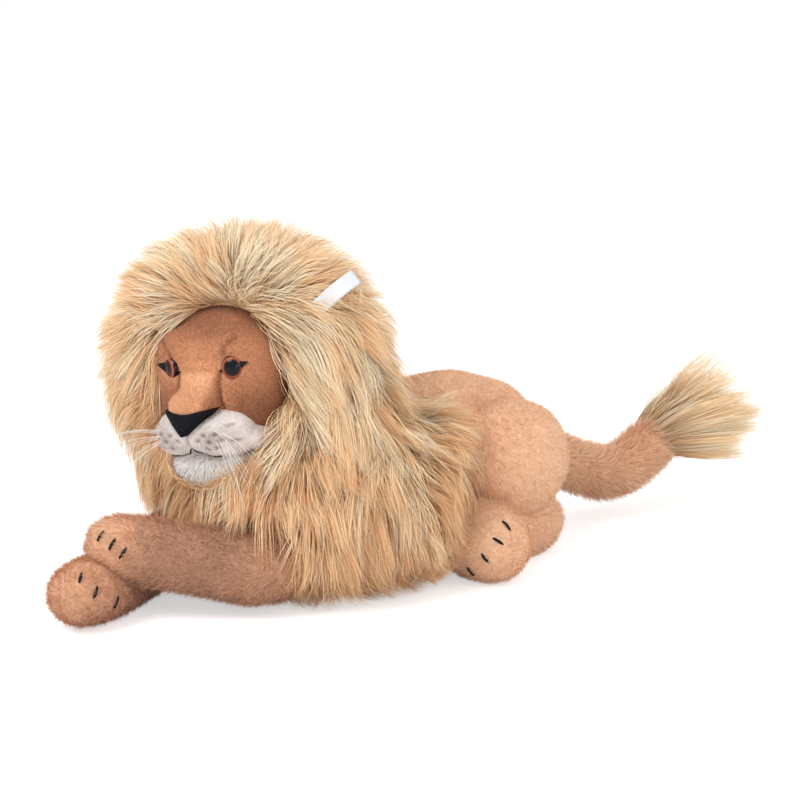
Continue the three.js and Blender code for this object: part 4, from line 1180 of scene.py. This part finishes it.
STROKE = np.linspace(-1, 1, 7)
THREADS = 7
THREAD_RADIUS = 0.26
CLAW_WIDTH = 1.5
CLAW_RISE = 1.9
for skin, claws in CLAWS.items():
    routes, radii = [], []
    for claw in claws:
        middle, way = claw_line(claw)
        place, normal, _, _ = trees[skin].find_nearest(Vector(middle))
        normal = np.array(normal)
        way = unit(way - (way @ normal) * normal)
        across = np.cross(normal, way)
        for share in np.linspace(-1, 1, THREADS):
            half = CLAW_LENGTH / 2 * (1 - 0.22 * share**2) + rng.uniform(-0.2, 0.2)
            crown = CLAW_RISE - 0.35 * share**2 - 1.1 * STROKE**4
            route = np.array(place) + (STROKE * half)[:, None] * way + crown[:, None] * normal
            routes.append(route + across * CLAW_WIDTH / 2 * share * (1 - 0.25 * STROKE[:, None] ** 2))
            radii.append(THREAD_RADIUS * (1 - 0.5 * STROKE**6))
    thread_piece(skin + "_claws", tubes(routes, radii, 6), SKIN_ROWS[skin][0], claws)

# Eyes: glossy domes over an amber ring, on black patches that show as their corners
EYE_RADIUS = 7.3
EYE_DOME = 4.5
EYE_SIDES = 40
EYE_PROUD = 0.6
FAR_EYE_PROUD = -1.3
EYE_SPLAY = math.radians(28)
PATCH_REACH = 10.4
PATCH_HALF = 4.2
PATCH_TILT = math.radians(14)
PATCH_PROUD = 1.3
PATCH_EDGE = 0.5
PATCH_GRID = (27, 9)
eye = Nodes("amber_eye", Roughness=0.3, Specular_IOR_Level=0.1, Coat_Weight=0.4, Coat_Roughness=0.03)
ring_share = eye.add("ShaderNodeAttribute", attribute_name="tone").outputs["Fac"]
eye.link(eye.ramp(ring_share, palette(
    (0.6, 5, 4, 5), (0.66, 74, 24, 16), (0.76, 138, 64, 46), (0.86, 178, 104, 80), (0.91, 84, 32, 24),
    (0.95, 10, 7, 7),
)), "Base Color")
dome_rise = np.linspace(0, math.pi / 2, 14)[:-1]
dome_radii = EYE_RADIUS * np.append([1 - 0.6 / EYE_RADIUS, 1, 1], np.cos(dome_rise))
dome_heights = np.append([-2.5, -1.5, -0.4], EYE_DOME * np.sin(dome_rise))
across, up = circle(EYE_SIDES)
heights = np.broadcast_to(dome_heights, (EYE_SIDES, len(dome_heights)))
dome_rings = np.stack([across * dome_radii, up * dome_radii, heights], axis=-1).swapaxes(0, 1)
dome, dome_faces = rings(dome_rings, [[0, 0, dome_heights[0]], [0, 0, dome_heights[-1]]])


def eye_pieces(name, side, aside, proud):
    """An eye's dome and its dark patch, seated on the cloth of the head."""
    outward = np.array([side * math.sin(EYE_SPLAY), -math.cos(EYE_SPLAY), 0])
    axes = head_way(np.stack([np.cross(UP, outward), UP, outward])).T
    inward = axes[:, 2] * -1
    seat = dropped_on(trees["head_cloth"], from_head([[side * aside, -41, EYE_RISE]]), inward)[0]
    points = seat + (dome + np.array([0, 0, proud])) @ axes.T
    piece = new_piece(f"{name}_dome", (points, dome_faces), "head", eye.look, [name])
    set_tone(piece, np.linalg.norm(dome[:, :2], axis=1) / EYE_RADIUS)
    share, height = np.meshgrid(np.linspace(-0.97, 0.97, PATCH_GRID[0]), np.linspace(-1, 1, PATCH_GRID[1]),
                                indexing="ij")
    level = height * PATCH_HALF * (1 - np.abs(share)) ** 0.9
    reach, tilt = share * PATCH_REACH, PATCH_TILT * side
    flat = np.stack([reach * math.cos(tilt) - level * math.sin(tilt),
                     reach * math.sin(tilt) + level * math.cos(tilt)], axis=-1).reshape(-1, 2)
    sheet = seat + flat[:, :1] * axes[:, 0] + flat[:, 1:] * axes[:, 1]
    sheet = dropped_on(trees["head_cloth"], sheet, inward).reshape(*PATCH_GRID, 3)
    crown = PATCH_EDGE + (PATCH_PROUD - PATCH_EDGE) * (1 - height[..., None] ** 4)
    patch = slab(sheet - inward * crown, sheet + inward * PATCH_EDGE)
    thread_piece(f"{name}_corners", patch, "head", [f"{name}_patch"])


eye_pieces("left_eye", 1, EYE_ACROSS + 1, EYE_PROUD)
eye_pieces("right_eye", -1, EYE_ACROSS - 1.5, FAR_EYE_PROUD)

# Mouth: a thin thread down from the nose and along under both pads
FRONT = ("left_muzzle", "right_muzzle", "chin_pad", "nose_pad", "head_cloth")
front_tree = tree_of(*stacked([skins[name] for name in FRONT]))
MOUTH_DROP = [(0, -50, -21), (0, -50, -26), (0, -50, -32)]
LIP = np.array([(0, -50, -32), (5, -50, -36), (12, -50, -38), (20, -50, -37.5)])
MOUTH = [MOUTH_DROP, LIP, LIP * [-1, 1, 1]]
MOUTH_THREAD = 0.5
MOUTH_PROUD = 1.3
MOUTH_STEPS = 18
head_ahead = head_way(np.array([0, -1, 0]))
routes = [dropped_on(front_tree, from_head(spline(route, MOUTH_STEPS)), head_ahead * -1) for route in MOUTH]
routes = [route + head_ahead * MOUTH_PROUD for route in routes]
mouth = tubes(routes, [np.full(MOUTH_STEPS, MOUTH_THREAD)] * 3, 8)
thread_piece("mouth_thread", mouth, "head", ["mouth_seam"])

# Whiskers: fine tapered bristles that bow down out of the pads
NYLON_SHADE = (250, 249, 246)
nylon = grained_material("nylon", NYLON_SHADE, NYLON_SHADE, 3.0, 2.0, 0.02, Roughness=0.3)
WHISKERS = 9
WHISKER_LENGTH = 42
WHISKER_RADIUS = 0.17
WHISKER_START = (22, -90, -21)
for name, side, droop in (("left_whiskers", 1, 0.62), ("right_whiskers", -1, 0.2)):
    routes, radii = [], []
    for number in range(WHISKERS):
        start = np.array(WHISKER_START) + [2.2 * (number % 3), 0, -1.1 * number]
        start = from_head([start * [side, 1, 1]])
        root = dropped_on(front_tree, start, head_ahead * -1)[0]
        swing = rng.uniform(0.1, 0.75)
        rise = 0.3 - 0.09 * number - droop + rng.uniform(-0.08, 0.08)
        way = head_way(unit(np.array([side * math.cos(swing), -math.sin(swing), math.tan(rise)])))
        share = np.linspace(-0.05, 1, 10)[:, None]
        length = WHISKER_LENGTH * rng.uniform(0.75, 1.1)
        routes.append(root + way * length * share + (4 * share * (1 - share) * 2.2 - 2 * share**2) * UP)
        radii.append(WHISKER_RADIUS * (1 - 0.7 * np.linspace(0, 1, 10)))
    new_piece(f"{name}_bristles", tubes(routes, radii, 5), "head", nylon, [name])

# Tag: a bare woven ribbon that comes out of the mane by the left ear, in shares of the skull
TAG_ROUTE = [(1.02, 0.0, 0.72), (1.46, -0.22, 0.86), (1.76, -0.12, 1.06), (1.87, 0.12, 1.17)]
TAG_WIDTH = 10
TAG_WALL = 0.35
TAG_CURL = 0.5
TAG_SLANT = np.array([-0.6, -0.27, 0.76])
CAD_SKULL = np.array([48, 49, 52])
route = from_head(spline(np.array(TAG_ROUTE) * CAD_SKULL, 22))
tangent = unit(np.gradient(route, axis=0))
face = unit(np.cross(tangent, head_way(TAG_SLANT)))
edge = np.cross(face, tangent)
share = np.linspace(-1, 1, 7)[None, :, None]
sheet = route[:, None] + edge[:, None] * share * TAG_WIDTH / 2 + face[:, None] * TAG_CURL * share**2
ribbon = Nodes("white_ribbon", Roughness=0.42, Sheen_Weight=0.3)
place = ribbon.add("ShaderNodeTexCoord").outputs["Object"]
weave = ribbon.add("ShaderNodeTexWave", {"Vector": place, "Scale": 1 / (0.9 * MM), "Distortion": 1.5})
weave = weave.outputs["Fac"]
ribbon.link(ribbon.ramp(weave, palette((0.2, 214, 217, 224), (0.8, 236, 238, 243))), "Base Color")
ribbon.bump(weave, 0.05)
wall = face[:, None] * TAG_WALL / 2
flat_tag = slab(sheet + wall, sheet - wall)
tag = new_piece("blank_tag", flat_tag, "head", ribbon.look, ["ear_tag"])


# The pieces inside keep their CAD form: a look's two shades, grain, roughness and metal, and its nodes
INSIDE = {
    "fibre_fill": ((236, 233, 228), (250, 248, 245), 4, 1.0, 0.0, ["torso_stuffing", "head_stuffing"]),
    "hardboard": ((118, 88, 58), (156, 122, 86), 1.2, 0.8, 0.0, ["neck_disc_body", "neck_disc_head"]),
    "zinc_steel": ((176, 178, 182), (198, 200, 203), 2, 0.35, 1.0, ["neck_bolt", "neck_lock_nut"]),
    "black_plastic": ((26, 26, 27), (38, 38, 40), 1, 0.5, 0.0, ["left_eye_washer", "right_eye_washer"]),
}
for name, (dark, pale, grain, roughness, metal, inner) in INSIDE.items():
    look = grained_material(name, dark, pale, grain, 4.0, 0.1, Roughness=roughness, Metallic=metal)
    for node in inner:
        nodes[node].data.materials.clear()
        nodes[node].data.materials.append(look)

# Camera at the photograph's viewing angle, plain light, and a floor that only takes the shadow
VIEW_TURN = math.radians(58)
VIEW_RISE = math.radians(13)
VIEW_DISTANCE = 1280
VIEW_AT = Vector((39, -6, 117))
FLOOR_HALF = 6000.0
FLOOR_GLOW = 0.52


def aimed(made, place, way):
    """An object put at a place in metres and turned to look along a way."""
    made.location = place
    made.rotation_mode = "QUATERNION"
    made.rotation_quaternion = way.to_track_quat("-Z", "Y")


def lamp(name, place, size, watts):
    light = bpy.data.lights.new(name, "AREA")
    light.size = size
    light.energy = watts
    aimed(in_scene(name, light), place, -Vector(place))


level = math.cos(VIEW_RISE)
back = Vector((math.sin(VIEW_TURN) * level, -math.cos(VIEW_TURN) * level, math.sin(VIEW_RISE)))
camera = in_scene("camera", bpy.data.cameras.new("camera"))
camera.data.lens = 90
camera.data.sensor_width = 36
aimed(camera, (VIEW_AT + back * VIEW_DISTANCE) * MM, -back)
bpy.context.scene.camera = camera

corners = np.array([[-1, -1, 0], [1, -1, 0], [1, 1, 0], [-1, 1, 0]]) * FLOOR_HALF
floor = mesh_object("floor", corners, np.array([[0, 1, 2], [0, 2, 3]]))
paper = Nodes("floor", Base_Color=(0.9, 0.9, 0.9, 1), Roughness=1.0, Specular_IOR_Level=0.0,
              Emission_Color=(1, 1, 1, 1))
rays = paper.add("ShaderNodeLightPath").outputs["Is Camera Ray"]
seen = paper.add("ShaderNodeMath", {0: rays, 1: FLOOR_GLOW}, operation="MULTIPLY")
paper.link(seen.outputs[0], "Emission Strength")
floor.data.materials.append(paper.look)

sky = Nodes("world", bpy.data.worlds, "Background", Color=(0.97, 0.98, 1.0, 1), Strength=0.7)
white = sky.add("ShaderNodeBackground", {"Color": (1, 1, 1, 1)}).outputs[0]
rays = sky.add("ShaderNodeLightPath").outputs["Is Camera Ray"]
mixed = sky.add("ShaderNodeMixShader", {0: rays, 1: sky.shader.outputs[0], 2: white})
sky.tree.links.new(mixed.outputs[0], sky.tree.nodes["World Output"].inputs["Surface"])
bpy.context.scene.world = sky.look
lamp("key", (0.3, -1.7, 1.9), 1.2, 30)
lamp("fill", (1.9, 0.6, 1.0), 1.6, 7)
lamp("glint", (2.15, -0.66, 0.5), 0.12, 6)

bpy.context.scene.view_settings.view_transform = "Standard"
